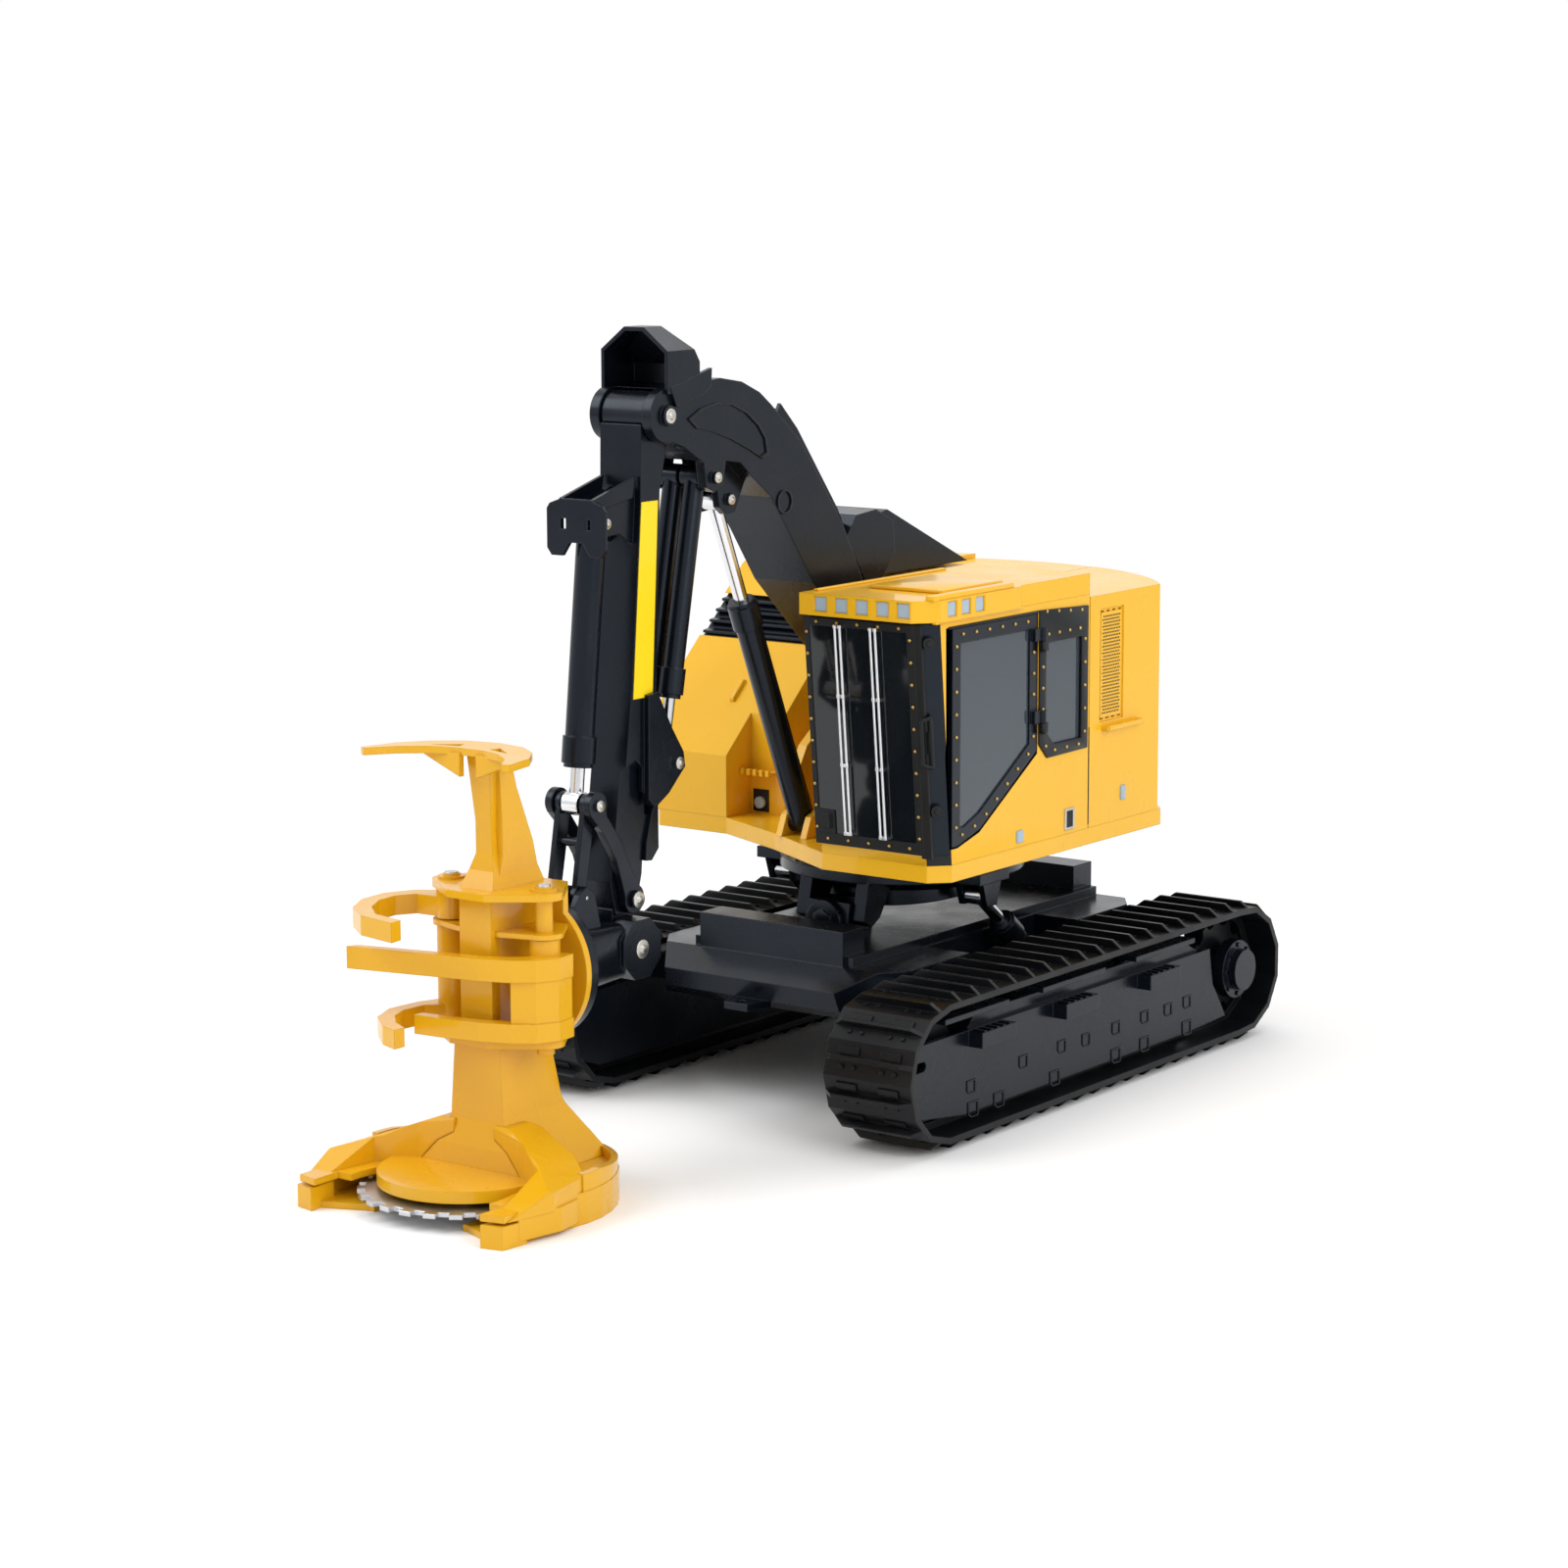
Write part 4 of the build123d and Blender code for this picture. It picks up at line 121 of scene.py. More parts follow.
def add_node(tree, kind, links=(), **values):
    """Adds a node, sets its properties and sockets, and links (socket, source socket) pairs."""
    node = tree.nodes.new(kind)
    for key, value in values.items():
        if key in node.inputs:
            node.inputs[key].default_value = value
        else:
            setattr(node, key, value)
    for socket, source in links:
        tree.links.new(source, node.inputs[socket])
    return node


def new_material(name, roughness, metallic=0.0, **sockets):
    material = bpy.data.materials.new(name)
    material.use_nodes = True
    tree = material.node_tree
    shader = tree.nodes["Principled BSDF"]
    shader.inputs["Roughness"].default_value = roughness
    shader.inputs["Metallic"].default_value = metallic
    for key, value in sockets.items():
        shader.inputs[key.replace("_", " ")].default_value = value
    where = add_node(tree, "ShaderNodeTexCoord").outputs["Object"]
    return material, tree, shader, where


def mottled(tree, shader, where, base, spread, size, detail=3.0):
    """Base colour that varies a little over a pattern of the given size in metres."""
    noise = add_node(tree, "ShaderNodeTexNoise", [("Vector", where)], Scale=1 / size, Detail=detail)
    dark = tuple(c * (1 - spread) for c in base[:3]) + (1.0,)
    light = tuple(min(1.0, c * (1 + spread)) for c in base[:3]) + (1.0,)
    mix = add_node(tree, "ShaderNodeMix", data_type="RGBA")
    mix.inputs[6].default_value = dark
    mix.inputs[7].default_value = light
    tree.links.new(noise.outputs["Fac"], mix.inputs[0])
    tree.links.new(mix.outputs[2], shader.inputs["Base Color"])
    return noise


def grained(tree, shader, where, size, depth, low, high):
    """Fine relief of the given size over softly rounded edges, and a roughness that drifts."""
    grain = add_node(tree, "ShaderNodeTexNoise", [("Vector", where)], Scale=1 / size, Detail=3.0)
    edge = add_node(tree, "ShaderNodeBevel", samples=4, Radius=bpy.context.scene.buncher_detail.edge)
    bump = add_node(tree, "ShaderNodeBump", [("Height", grain.outputs["Fac"]),
                                             ("Normal", edge.outputs["Normal"])], Strength=0.1, Distance=depth)
    tree.links.new(bump.outputs["Normal"], shader.inputs["Normal"])
    cloud = add_node(tree, "ShaderNodeTexNoise", [("Vector", where)], Scale=90.0, Detail=4.0)
    spread = add_node(tree, "ShaderNodeMapRange", [("Value", cloud.outputs["Fac"])])
    for socket, value in (("From Min", 0.3), ("From Max", 0.7), ("To Min", low), ("To Max", high)):
        spread.inputs[socket].default_value = value
    tree.links.new(spread.outputs["Result"], shader.inputs["Roughness"])


def enamel(name, base, peel, roughness, coat, shine):
    """Sprayed enamel on die-cast zinc: an even coat with faint orange peel and a clear gloss."""
    material, tree, shader, where = new_material(name, roughness, IOR=1.5, Coat_Weight=coat,
                                                 Coat_Roughness=0.06, Specular_IOR_Level=shine)
    if max(base[:3]) < 0.02:
        shader.inputs["Specular Tint"].default_value = srgb("#cfdcf0")
    mottled(tree, shader, where, base, 0.05, 0.03)
    grained(tree, shader, where, peel, 0.0002, roughness * 0.8, roughness * 1.3)
    return material


def moulded(name, base, grain, roughness):
    """Moulded ABS: fine even grain that breaks up the sheen."""
    material, tree, shader, where = new_material(name, roughness, IOR=1.46, Specular_IOR_Level=0.3)
    mottled(tree, shader, where, base, 0.12, 0.02)
    grained(tree, shader, where, grain, 0.0001, roughness * 0.8, roughness * 1.25)
    return material


def bare_metal(name, base, roughness, brush):
    """Bright plated or brushed metal: fine streaks along one way."""
    material, tree, shader, where = new_material(name, roughness, 1.0)
    stretch = add_node(tree, "ShaderNodeMapping", [("Vector", where)], Scale=brush)
    mottled(tree, shader, stretch.outputs["Vector"], base, 0.08, 0.001)
    grained(tree, shader, stretch.outputs["Vector"], 0.0006, 0.00005, roughness * 0.8, roughness * 1.4)
    return material


def smoked(name, tint, clear):
    """Thin smoked acrylic window: tinted dark, with a sharp reflection."""
    material, tree, shader, where = new_material(name, 0.06, IOR=1.49, Transmission_Weight=clear)
    mottled(tree, shader, where, tint, 0.04, 0.02)
    return material


def make_materials(context):
    tone = settings(context)
    return {
        # Gloss enamel sprayed on cast zinc: smooth, with soft wide highlights.
        "yellow": enamel("yellow_enamel", tone.yellow, tone.peel, 0.3, 0.35, 0.2),
        "ochre": enamel("ochre_enamel", tone.ochre, tone.peel, 0.28, 0.4, 0.2),
        # Satin enamel: nearly black, with a cool sheen on faces that look at the lights.
        "black": enamel("black_satin_enamel", tone.black, tone.peel, 0.24, 0.0, 0.36),
        # Moulded ABS loops: an even, duller black than the enamel beside them.
        "track": moulded("moulded_black_track", tone.track, tone.grain, 0.38),
        # Plated steel rods and bars: bright, streaked along their length.
        "chrome": bare_metal("chrome_plate", srgb("#dcdde0"), 0.12, (1, 1, 8)),
        # Silvered plastic of the disc: greyer and more matt than the plate.
        "steel": bare_metal("silvered_saw_steel", srgb("#c9ccd1"), 0.3, (1, 1, 1)),
        # Polished clear lens over a pale cup: a light blue grey.
        "lens": moulded("clear_lamp_lens", tone.lens, tone.grain, 0.16),
        # Moulded seat with a coarser, matt grain.
        "seat": moulded("black_seat_vinyl", srgb("#17181a"), tone.grain * 1.6, 0.6),
        # Clear acrylic, tinted: the side windows look grey; the windscreen's copy is darkened to nearly black,
        # painted shade of the cab behind it.
        "glass": smoked("smoked_acrylic", tone.glass, 0.6),
        "windscreen": smoked("shaded_windscreen_acrylic", srgb("#1d2227"), 0.5),
        # Moulded trim round the windows: black with a soft sheen.
        "dark": moulded("black_trim_moulding", srgb("#111315"), tone.grain, 0.42),
        # Pad-printed stripe: flat, strong lemon yellow.
        "stripe": enamel("stripe_print", tone.stripe, tone.peel, 0.3, 0.2, 0.3),
        # Zinc-plated pin heads and brass-coloured dots: small bright points.
        "bolt": bare_metal("zinc_bolt_head", srgb("#c4c2bb"), 0.25, (1, 1, 1)),
        "brass": bare_metal("brass_stud", srgb("#b99a5a"), 0.3, (1, 1, 1)),
    }


MATERIALS = {}

CAD_FINISH = {
    "yellow": ["deck", "engine_house", "left_compartment", "right_hood", "cab_roof", "cab_shell",
               "boom_foot_bracket", "hoist_foot_lugs", "left_grille"],
    "ochre": ["head_frame", "head_horn", "head_base", "left_arm", "right_arm"],
    "black": ["carbody", "track_frames", "guard_plates", "drive_hubs", "levelling_frame",
              "level_cylinder_barrels", "slewing_ring", "right_louvres", "intake_scoop", "cab_door", "boom",
              "boom_tip_guard", "hose_tray", "hose_clamp_guard", "hoist_cylinder_barrel", "stick",
              "stick_lamp_guard", "stick_rear_guard", "stick_cylinder_barrels", "wrist", "rocker_levers",
              "wrist_links", "tilt_cylinder_barrel", "cab_front_frame", "cab_corner_post"],
    "track": ["left_track", "right_track", "idlers", "sprockets", "rollers"],
    "chrome": ["level_cylinder_rods", "hoist_cylinder_rod", "stick_cylinder_rods", "tilt_cylinder_rod"],
    "steel": ["saw_disc"],
    "lens": ["work_lamps"],
    "seat": ["cab_seat"],
    "glass": ["cab_glass", "cab_door_glass"],
}

# Places that several pieces share, in millimetres from the slewing axis on the ground.
DECK_Z = 55.0
LEAN = -4.5 / 49.6
WINDSCREEN_Y = -50.5
CAB_SIDE_X = 44.4
FRONT_WHEEL_Y = -60.0
DRIVE_WHEEL_Y = 58.0
SHOE_LIFT = 3.0
TRACK_X = 42.7
GUARD_X = 49.9
SAW_Y = -144.0


def finished(name, shape, finish, body, sharp=35.0):
    """Makes a mesh into a painted piece that rides on a body."""
    bmesh.ops.recalc_face_normals(shape, faces=shape.faces)
    mesh = bpy.data.meshes.new(name)
    shape.to_mesh(mesh)
    shape.free()
    mesh.shade_smooth()
    mesh.set_sharp_from_angle(angle=math.radians(sharp))
    mesh.materials.append(MATERIALS[finish])
    piece = bpy.data.objects.new(name, mesh)
    bpy.context.scene.collection.objects.link(piece)
    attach(piece, body)
    return piece


def placed(axis, a, b, depth):
    """The point with in-plane coordinates a, b and the given depth along an axis."""
    return {"x": at(depth, a, b), "y": at(a, depth, b), "z": at(a, b, depth)}[axis]


def plate(shape, points, axis, low, high, hole=None):
    """Extrudes a closed outline, with or without a hole of as many corners, along an axis."""
    outer = [shape.verts.new(placed(axis, a, b, low)) for a, b in points]
    if hole:
        inner = [shape.verts.new(placed(axis, a, b, low)) for a, b in hole]
        edges = [shape.edges.new((ring[i], ring[i - 1])) for ring in (outer, inner)
                 for i in range(len(ring))]
        faces = bmesh.ops.bridge_loops(shape, edges=edges)["faces"]
    else:
        faces = [shape.faces.new(outer)]
    grown = bmesh.ops.extrude_face_region(shape, geom=faces)["geom"]
    bmesh.ops.translate(shape, vec=placed(axis, 0, 0, high) - placed(axis, 0, 0, low),
                        verts=grown_verts(grown))


def box(shape, x, y, z):
    """A block between two places along each axis."""
    plate(shape, [(x[0], y[0]), (x[1], y[0]), (x[1], y[1]), (x[0], y[1])], "z", z[0], z[1])


def rod(shape, start, end, radius, sides=14):
    """A round bar between two points."""
    a, b = at(*start), at(*end)
    line = b - a
    turn = line.to_track_quat("Z", "Y").to_matrix().to_4x4()
    bmesh.ops.create_cone(shape, cap_ends=True, segments=sides, radius1=radius * MM, radius2=radius * MM,
                          depth=line.length, matrix=Matrix.Translation((a + b) / 2) @ turn)


def dome(shape, centre, radius):
    bmesh.ops.create_uvsphere(shape, u_segments=8, v_segments=5, radius=radius * MM,
                              matrix=Matrix.Translation(at(*centre)))


def studs(shape, points, closed=True):
    """Dots along a line of points, at the spacing in the settings."""
    detail = bpy.context.scene.buncher_detail
    ends = points[1:] + points[:1] if closed else points[1:]
    for start, end in zip(points, ends):
        start, end = Vector(start), Vector(end)
        count = max(1, round((end - start).length * MM / detail.stud_pitch))
        for i in range(count):
            dome(shape, start.lerp(end, (i + 0.5) / count), detail.stud / MM)


def soften(shape, width, segments=2):
    """Rounds every sharp edge that is long enough for it."""
    edges = [e for e in shape.edges if e.is_manifold and e.calc_face_angle() > math.radians(32)
             and e.calc_length() > 2 * width * MM]
    bmesh.ops.bevel(shape, geom=edges, offset=width * MM, offset_type="OFFSET", segments=segments, profile=0.5,
                    affect="EDGES", clamp_overlap=True, material=-1)


def lean(shape):
    """Tips what was built upright to the slope of the windscreen."""
    for vertex in shape.verts:
        vertex.co.y += LEAN * (vertex.co.z - DECK_Z * MM)


def grown_verts(grown):
    return [v for v in grown if isinstance(v, bmesh.types.BMVert)]


def circle(y, z, radius, count):
    """Outline of a circle."""
    steps = [2 * math.pi * i / count for i in range(count)]
    return [(y + radius * math.cos(a), z + radius * math.sin(a)) for a in steps]


def capsule(y0, z0, y1, z1, radius, count=6):
    """Outline of a slot with round ends, from one centre to the other."""
    turn = math.atan2(z1 - z0, y1 - y0)
    points = []
    for centre, start in (((y1, z1), turn - math.pi / 2), ((y0, z0), turn + math.pi / 2)):
        for i in range(count + 1):
            angle = start + math.pi * i / count
            points.append((centre[0] + radius * math.cos(angle), centre[1] + radius * math.sin(angle)))
    return points


def shrunk(points, keep):
    """The same outline drawn in towards its middle."""
    a = sum(p[0] for p in points) / len(points)
    b = sum(p[1] for p in points) / len(points)
    return [(a + (p[0] - a) * keep, b + (p[1] - b) * keep) for p in points]


def islands(node):
    """Lower and upper corner of each loose part of a CAD node, in millimetres from the slewing axis."""
    shape = bmesh.new()
    shape.from_mesh(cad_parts[node].data)
    bmesh.ops.remove_doubles(shape, verts=shape.verts, dist=1e-6)
    left, out = set(shape.verts), []
    for seed in shape.verts:
        if seed not in left:
            continue
        part, queue = [], [seed]
        left.discard(seed)
        while queue:
            vertex = queue.pop()
            part.append((vertex.co - at(0, 0, 0)) / MM)
            for edge in vertex.link_edges:
                other = edge.other_vert(vertex)
                if other in left:
                    left.discard(other)
                    queue.append(other)
        out.append(tuple(Vector([pick(p[i] for p in part) for i in range(3)]) for pick in (min, max)))
    shape.free()
    return out


class BUNCHER_OT_paint(bpy.types.Operator):
    """Gives every piece of the frame its finish"""
    bl_idname = "buncher.paint"
    bl_label = "Paint the frame"

    def execute(self, context):
        MATERIALS.update(make_materials(context))
        left = set(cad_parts)
        for finish, names in CAD_FINISH.items():
            for name in names:
                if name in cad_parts:
                    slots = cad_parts[name].data.materials
                    slots.clear()
                    slots.append(MATERIALS[finish])
                    left.discard(name)
        if left:
            raise RuntimeError("no finish for " + ", ".join(sorted(left)))
        return {"FINISHED"}


class BUNCHER_OT_windscreen(bpy.types.Operator):
    """Adds the border, the pane, the bars and the brass dots of the cab's windows"""
    bl_idname = "buncher.windscreen"
    bl_label = "Trim the windscreen"

    def execute(self, context):
        detail = context.scene.buncher_detail
        shape = bmesh.new()
        outer = [(14.3, 57.2), (40.8, 57.2), (40.8, 104.0), (14.3, 104.0)]
        inner = [(15.5, 59.6), (39.2, 59.6), (39.2, 102.4), (15.5, 102.4)]
        plate(shape, outer, "y", -51.35, -50.9, inner)
        for x, y, z in (((15.5, 19.4), (-51.5, -50.9), (59.6, 64.4)),
                        ((16.4, 18.4), (-52.0, -51.4), (60.6, 63.6)),
                        ((40.2, 42.6), (-51.25, -50.4), (56.6, 104.2))):
            box(shape, x, y, z)
        lean(shape)
        finished("windscreen_border", shape, "dark", "house")
        shape = bmesh.new()
        plate(shape, inner, "y", -51.2, -51.0)
        lean(shape)
        # The pane takes the acrylic that is darkened as painted shade.
        finished("windscreen_pane", shape, "windscreen", "house")
        shape = bmesh.new()
        studs(shape, [(x, -51.4, z) for x, z in ((14.9, 58.4), (40.0, 58.4), (40.0, 103.2), (14.9, 103.2))])
        lean(shape)
        studs(shape, [(CAB_SIDE_X + 0.4, y, z) for y, z in
                      ((-14.2, 76.0), (-14.2, 98.0), (2.0, 98.0), (2.0, 73.6), (-11.8, 73.6))])
        studs(shape, [(CAB_SIDE_X + 0.3, -15.0, 102.9), (CAB_SIDE_X + 0.3, 3.0, 101.6)], False)
        finished("frame_studs", shape, "brass", "house")
        shape = bmesh.new()
        for x in (23.0, 31.6):
            for shift in (-0.6, 0.6):
                rod(shape, (x + shift, -52.1, 60.0), (x + shift, -52.1, 102.8), detail.guard_bar / MM, 10)
            for z in (60.0, 74.2, 88.4, 102.6):
                box(shape, (x - 0.95, x + 0.95), (-52.3, -51.2), (z - 0.35, z + 0.35))
        lean(shape)
        finished("windscreen_bars", shape, "chrome", "house")
        return {"FINISHED"}


class BUNCHER_OT_side_windows(bpy.types.Operator):
    """Adds the frame of the rear side window, the seam behind it and the dots on the door"""
    bl_idname = "buncher.side_windows"
    bl_label = "Trim the side windows"

    def execute(self, context):
        shape = bmesh.new()
        low, high = CAB_SIDE_X - 0.2, CAB_SIDE_X + 0.4
        plate(shape, [(-15.4, 75.4), (-12.2, 72.2), (3.4, 72.4), (3.4, 102.4), (-15.4, 103.2)], "x", low, high,
              [(-12.9, 77.9), (-9.7, 74.8), (0.9, 74.8), (0.9, 96.2), (-12.9, 96.2)])
        plate(shape, [(-48.6, 103.2), (-15.4, 103.2), (-15.4, 102.7), (-48.6, 102.7)], "x", low, high - 0.1)
        plate(shape, [(4.2, 55.8), (4.7, 55.8), (4.7, 76.5), (4.2, 76.5)], "x", low - 0.2, CAB_SIDE_X + 0.06)
        soften(shape, 0.12)
        finished("rear_window_frame", shape, "dark", "house")
        shape = bmesh.new()
        door_line = [(-45.6, 60.2), (-45.6, 101.3), (-17.2, 101.3), (-17.2, 75.2), (-36.6, 62.4)]
        studs(shape, [(CAB_SIDE_X + 0.05, y, z) for y, z in door_line])
        finished("door_studs", shape, "brass", "door")
        return {"FINISHED"}


class BUNCHER_OT_corner_post(bpy.types.Operator):
    """Adds the two knobs and the loop handle on the corner post"""
    bl_idname = "buncher.corner_post"
    bl_label = "Trim the corner post"

    def execute(self, context):
        shape = bmesh.new()
        post_x, post_y = 42.9, -50.6
        for z in (100.4, 66.4):
            rod(shape, (post_x - 0.3, post_y + 1.6, z), (post_x + 0.9, post_y + 0.4, z), 1.25, 18)
            rod(shape, (post_x + 0.6, post_y + 0.7, z), (post_x + 1.2, post_y + 0.1, z), 0.6, 12)
        loop_x, loop_y = post_x + 0.7, post_y - 0.1
        foot, head = (0, 0, 75.4), (0, 0, 85.6)
        near_foot, near_head = (-1.3, -1.3, 76.0), (-1.3, -1.3, 85.0)
        for start, end in ((foot, head), (foot, (-0.9, 0.9, 75.4)), (head, (-0.9, 0.9, 85.6)),
                           (near_foot, near_head), (near_foot, foot), (near_head, head)):
            ends = [(loop_x + x, loop_y + y, z) for x, y, z in (start, end)]
            rod(shape, *ends, 0.42, 10)
        box(shape, (loop_x - 1.8, loop_x - 0.6), (loop_y - 0.1, loop_y + 1.0), (78.2, 82.6))
        lean(shape)
        finished("corner_latches", shape, "dark", "house")
        return {"FINISHED"}


class BUNCHER_OT_side_fittings(bpy.types.Operator):
    """Adds the markers and the latch on the side, and the lamp, step and catch of the hood"""
    bl_idname = "buncher.side_fittings"
    bl_label = "Fit the sides"

    def execute(self, context):
        shape = bmesh.new()
        for y0, y1, z0, z1 in ((-23.4, -20.8, 55.9, 58.5), (17.2, 19.2, 59.2, 62.4)):
            plate(shape, [(y0, z0), (y1, z0), (y1, z1), (y0, z1)], "x", CAB_SIDE_X - 0.4, CAB_SIDE_X + 0.45)
        soften(shape, 0.35)
        finished("side_markers", shape, "lens", "house")
        shape = bmesh.new()
        plate(shape, [(-4.9, 55.9), (-1.3, 55.9), (-1.3, 60.4), (-4.9, 60.4)], "x",
              CAB_SIDE_X - 0.1, CAB_SIDE_X + 0.3, [(-4.4, 56.4), (-1.8, 56.4), (-1.8, 59.9), (-4.4, 59.9)])
        finished("latch_rim", shape, "bolt", "house")
        # Dark plates in the latch pocket and behind the hood lamp: painted shade of the recesses.
        shape = bmesh.new()
        plate(shape, [(-4.5, 56.3), (-1.7, 56.3), (-1.7, 60.0), (-4.5, 60.0)], "x",
              CAB_SIDE_X - 0.1, CAB_SIDE_X + 0.15)
        plate(shape, [(-24.6, 60.2), (-20.6, 60.2), (-20.6, 55.4), (-24.6, 55.4)], "y", -20.9, -20.5)
        finished("latch_and_lamp_recess_shade", shape, "dark", "house")
        shape = bmesh.new()
        rod(shape, (-22.6, -20.7, 57.4), (-22.6, -21.6, 57.4), 1.3, 16)
        finished("hood_lamp", shape, "lens", "house")
        shape = bmesh.new()
        box(shape, (-25.4, -17.4), (-24.2, -20.3), (63.8, 64.6))
        for i in range(5):
            box(shape, (-25.2 + i * 1.7, -24.3 + i * 1.7), (-25.0, -24.2), (63.8, 65.2))
        plate(shape, capsule(-18.2, 78.9, -15.0, 81.8, 0.9), "x", -32.4, -31.2)
        soften(shape, 0.12)
        finished("hood_step_and_catch", shape, "yellow", "house")
        return {"FINISHED"}


class BUNCHER_OT_roof_trim(bpy.types.Operator):
    """Adds the hatch and ledges of the roof, the side rail and the rims of the lamps"""
    bl_idname = "buncher.roof_trim"
    bl_label = "Trim the roof"

    def execute(self, context):
        shape = bmesh.new()
        rail_x, rail_z = CAB_SIDE_X + 1.3, 75.6
        rod(shape, (rail_x, 9.9, rail_z), (rail_x, 23.8, rail_z), 0.55)
        for y in (9.9, 23.8):
            rod(shape, (CAB_SIDE_X - 0.6, y, rail_z), (CAB_SIDE_X + 1.6, y, rail_z), 0.6)
        for x, y, z in (((22.0, 40.0), (-44.0, -22.0), (109.0, 109.8)),
                        ((43.2, 45.4), (-55.0, -26.0), (108.9, 110.0)),
                        ((15.4, 16.6), (-54.0, -8.0), (108.9, 109.5)),
                        ((CAB_SIDE_X - 0.3, CAB_SIDE_X + 0.9), (-54.0, -22.0), (104.2, 104.9))):
            box(shape, x, y, z)
        soften(shape, 0.3)
        finished("roof_hatch_and_rail", shape, "yellow", "house")
        shape = bmesh.new()
        for low, high in islands("work_lamps"):
            on_side = high.x > CAB_SIDE_X
            a0, a1 = (low.y, high.y) if on_side else (low.x, high.x)
            rims = [[(a0 - out, low.z - out), (a1 + out, low.z - out), (a1 + out, high.z + out),
                     (a0 - out, high.z + out)] for out in (0.5, 0.0)]
            ends = (high.x - 0.4, high.x + 0.2) if on_side else (low.y - 0.2, low.y + 0.4)
            plate(shape, rims[0], "x" if on_side else "y", *ends, rims[1])
        finished("lamp_rims", shape, "yellow", "house")
        return {"FINISHED"}


class BUNCHER_OT_grille(bpy.types.Operator):
    """Adds the perforated sheet over the grille of the left compartment, its holes shown by dark dots of painted
    shade
    """
    bl_idname = "buncher.grille"
    bl_label = "Perforate the grille"

    def execute(self, context):
        low, high = (((corner - at(0, 0, 0)) / MM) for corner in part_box("left_grille"))
        shape = bmesh.new()
        box(shape, (high.x - 0.3, high.x + 0.12), (low.y + 0.6, high.y - 0.6), (low.z + 0.8, high.z - 0.8))
        finished("grille_sheet", shape, "yellow", "house")
        # Dark dots on the sheet stand for the holes: the shade in each hole is painted.
        shape = bmesh.new()
        rows, columns, hole = 30, 11, 0.24
        for i in range(rows):
            for j in range(columns):
                y = low.y + 1.2 + (high.y - low.y - 2.4) * (j + 0.5 * (i % 2) + 0.25) / columns
                z = low.z + 1.4 + (high.z - low.z - 2.8) * (i + 0.5) / rows
                rod(shape, (high.x, y, z), (high.x + 0.14, y, z), hole, 6)
        finished("grille_hole_shade", shape, "dark", "house")
        return {"FINISHED"}


class BUNCHER_OT_boom_trim(bpy.types.Operator):
    """Adds the raised outlines, pin heads and the stripe on boom and stick"""
    bl_idname = "buncher.boom_trim"
    bl_label = "Trim the boom and stick"

    def execute(self, context):
        shape = bmesh.new()
        fin = [(-84.6, 145.0), (-80.6, 146.8), (-75.6, 147.6), (-70.6, 147.2), (-65.6, 145.2),
               (-61.4, 142.3), (-59.0, 139.4), (-58.4, 136.4), (-60.4, 135.6), (-64.6, 137.6),
               (-70.9, 140.2), (-77.4, 142.2), (-82.0, 143.0)]
        for side in (1, -1):
            for outline, keep in ((fin, 0.93), (circle(-53.0, 126.4, 2.5, 24), 0.84)):
                plate(shape, outline, "x", side * 7.4, side * 7.85, shrunk(outline, keep))
        finished("boom_raised_outlines", shape, "black", "boom")
        # Each pin: its place seen from the side, how far out its head stands, and its radius.
        heads = {"boom": (((-76.0, 133.0), 8.4, 1.1), ((-66.8, 127.8), 4.7, 1.1), ((-91.0, 146.0), 8.4, 1.5)),
                 "stick": (((-87.0, 77.6), 6.9, 1.25), ((-99.9, 52.3), 6.5, 1.7), ((-105.0, 126.0), 3.7, 1.1)),
                 "rocker": (((-110.9, 72.3), 6.1, 1.15),),
                 "wrist": (((-114.3, 54.8), 4.9, 1.0), ((-100.7, 42.8), 7.9, 1.9)),
                 "house": (((-8.0, 66.0), 8.2, 1.8), ((-36.5, 57.8), 4.3, 1.1))}
        for body, pins in heads.items():
            shape = bmesh.new()
            for (y, z), x, radius in pins:
                for side in (1, -1):
                    rod(shape, (side * (x - 0.3), y, z), (side * (x + 0.25), y, z), radius, 20)
                    rod(shape, (side * (x + 0.1), y, z), (side * (x + 0.5), y, z), radius * 0.45, 6)
            soften(shape, 0.12)
            finished(body + "_pin_heads", shape, "bolt", body)
        shape = bmesh.new()
        plate(shape, [(-96.1, 129.6), (-99.2, 91.5), (-93.2, 91.5), (-91.0, 129.6)], "x", 4.9, 5.12)
        finished("stick_stripe", shape, "stripe", "stick")
        return {"FINISHED"}


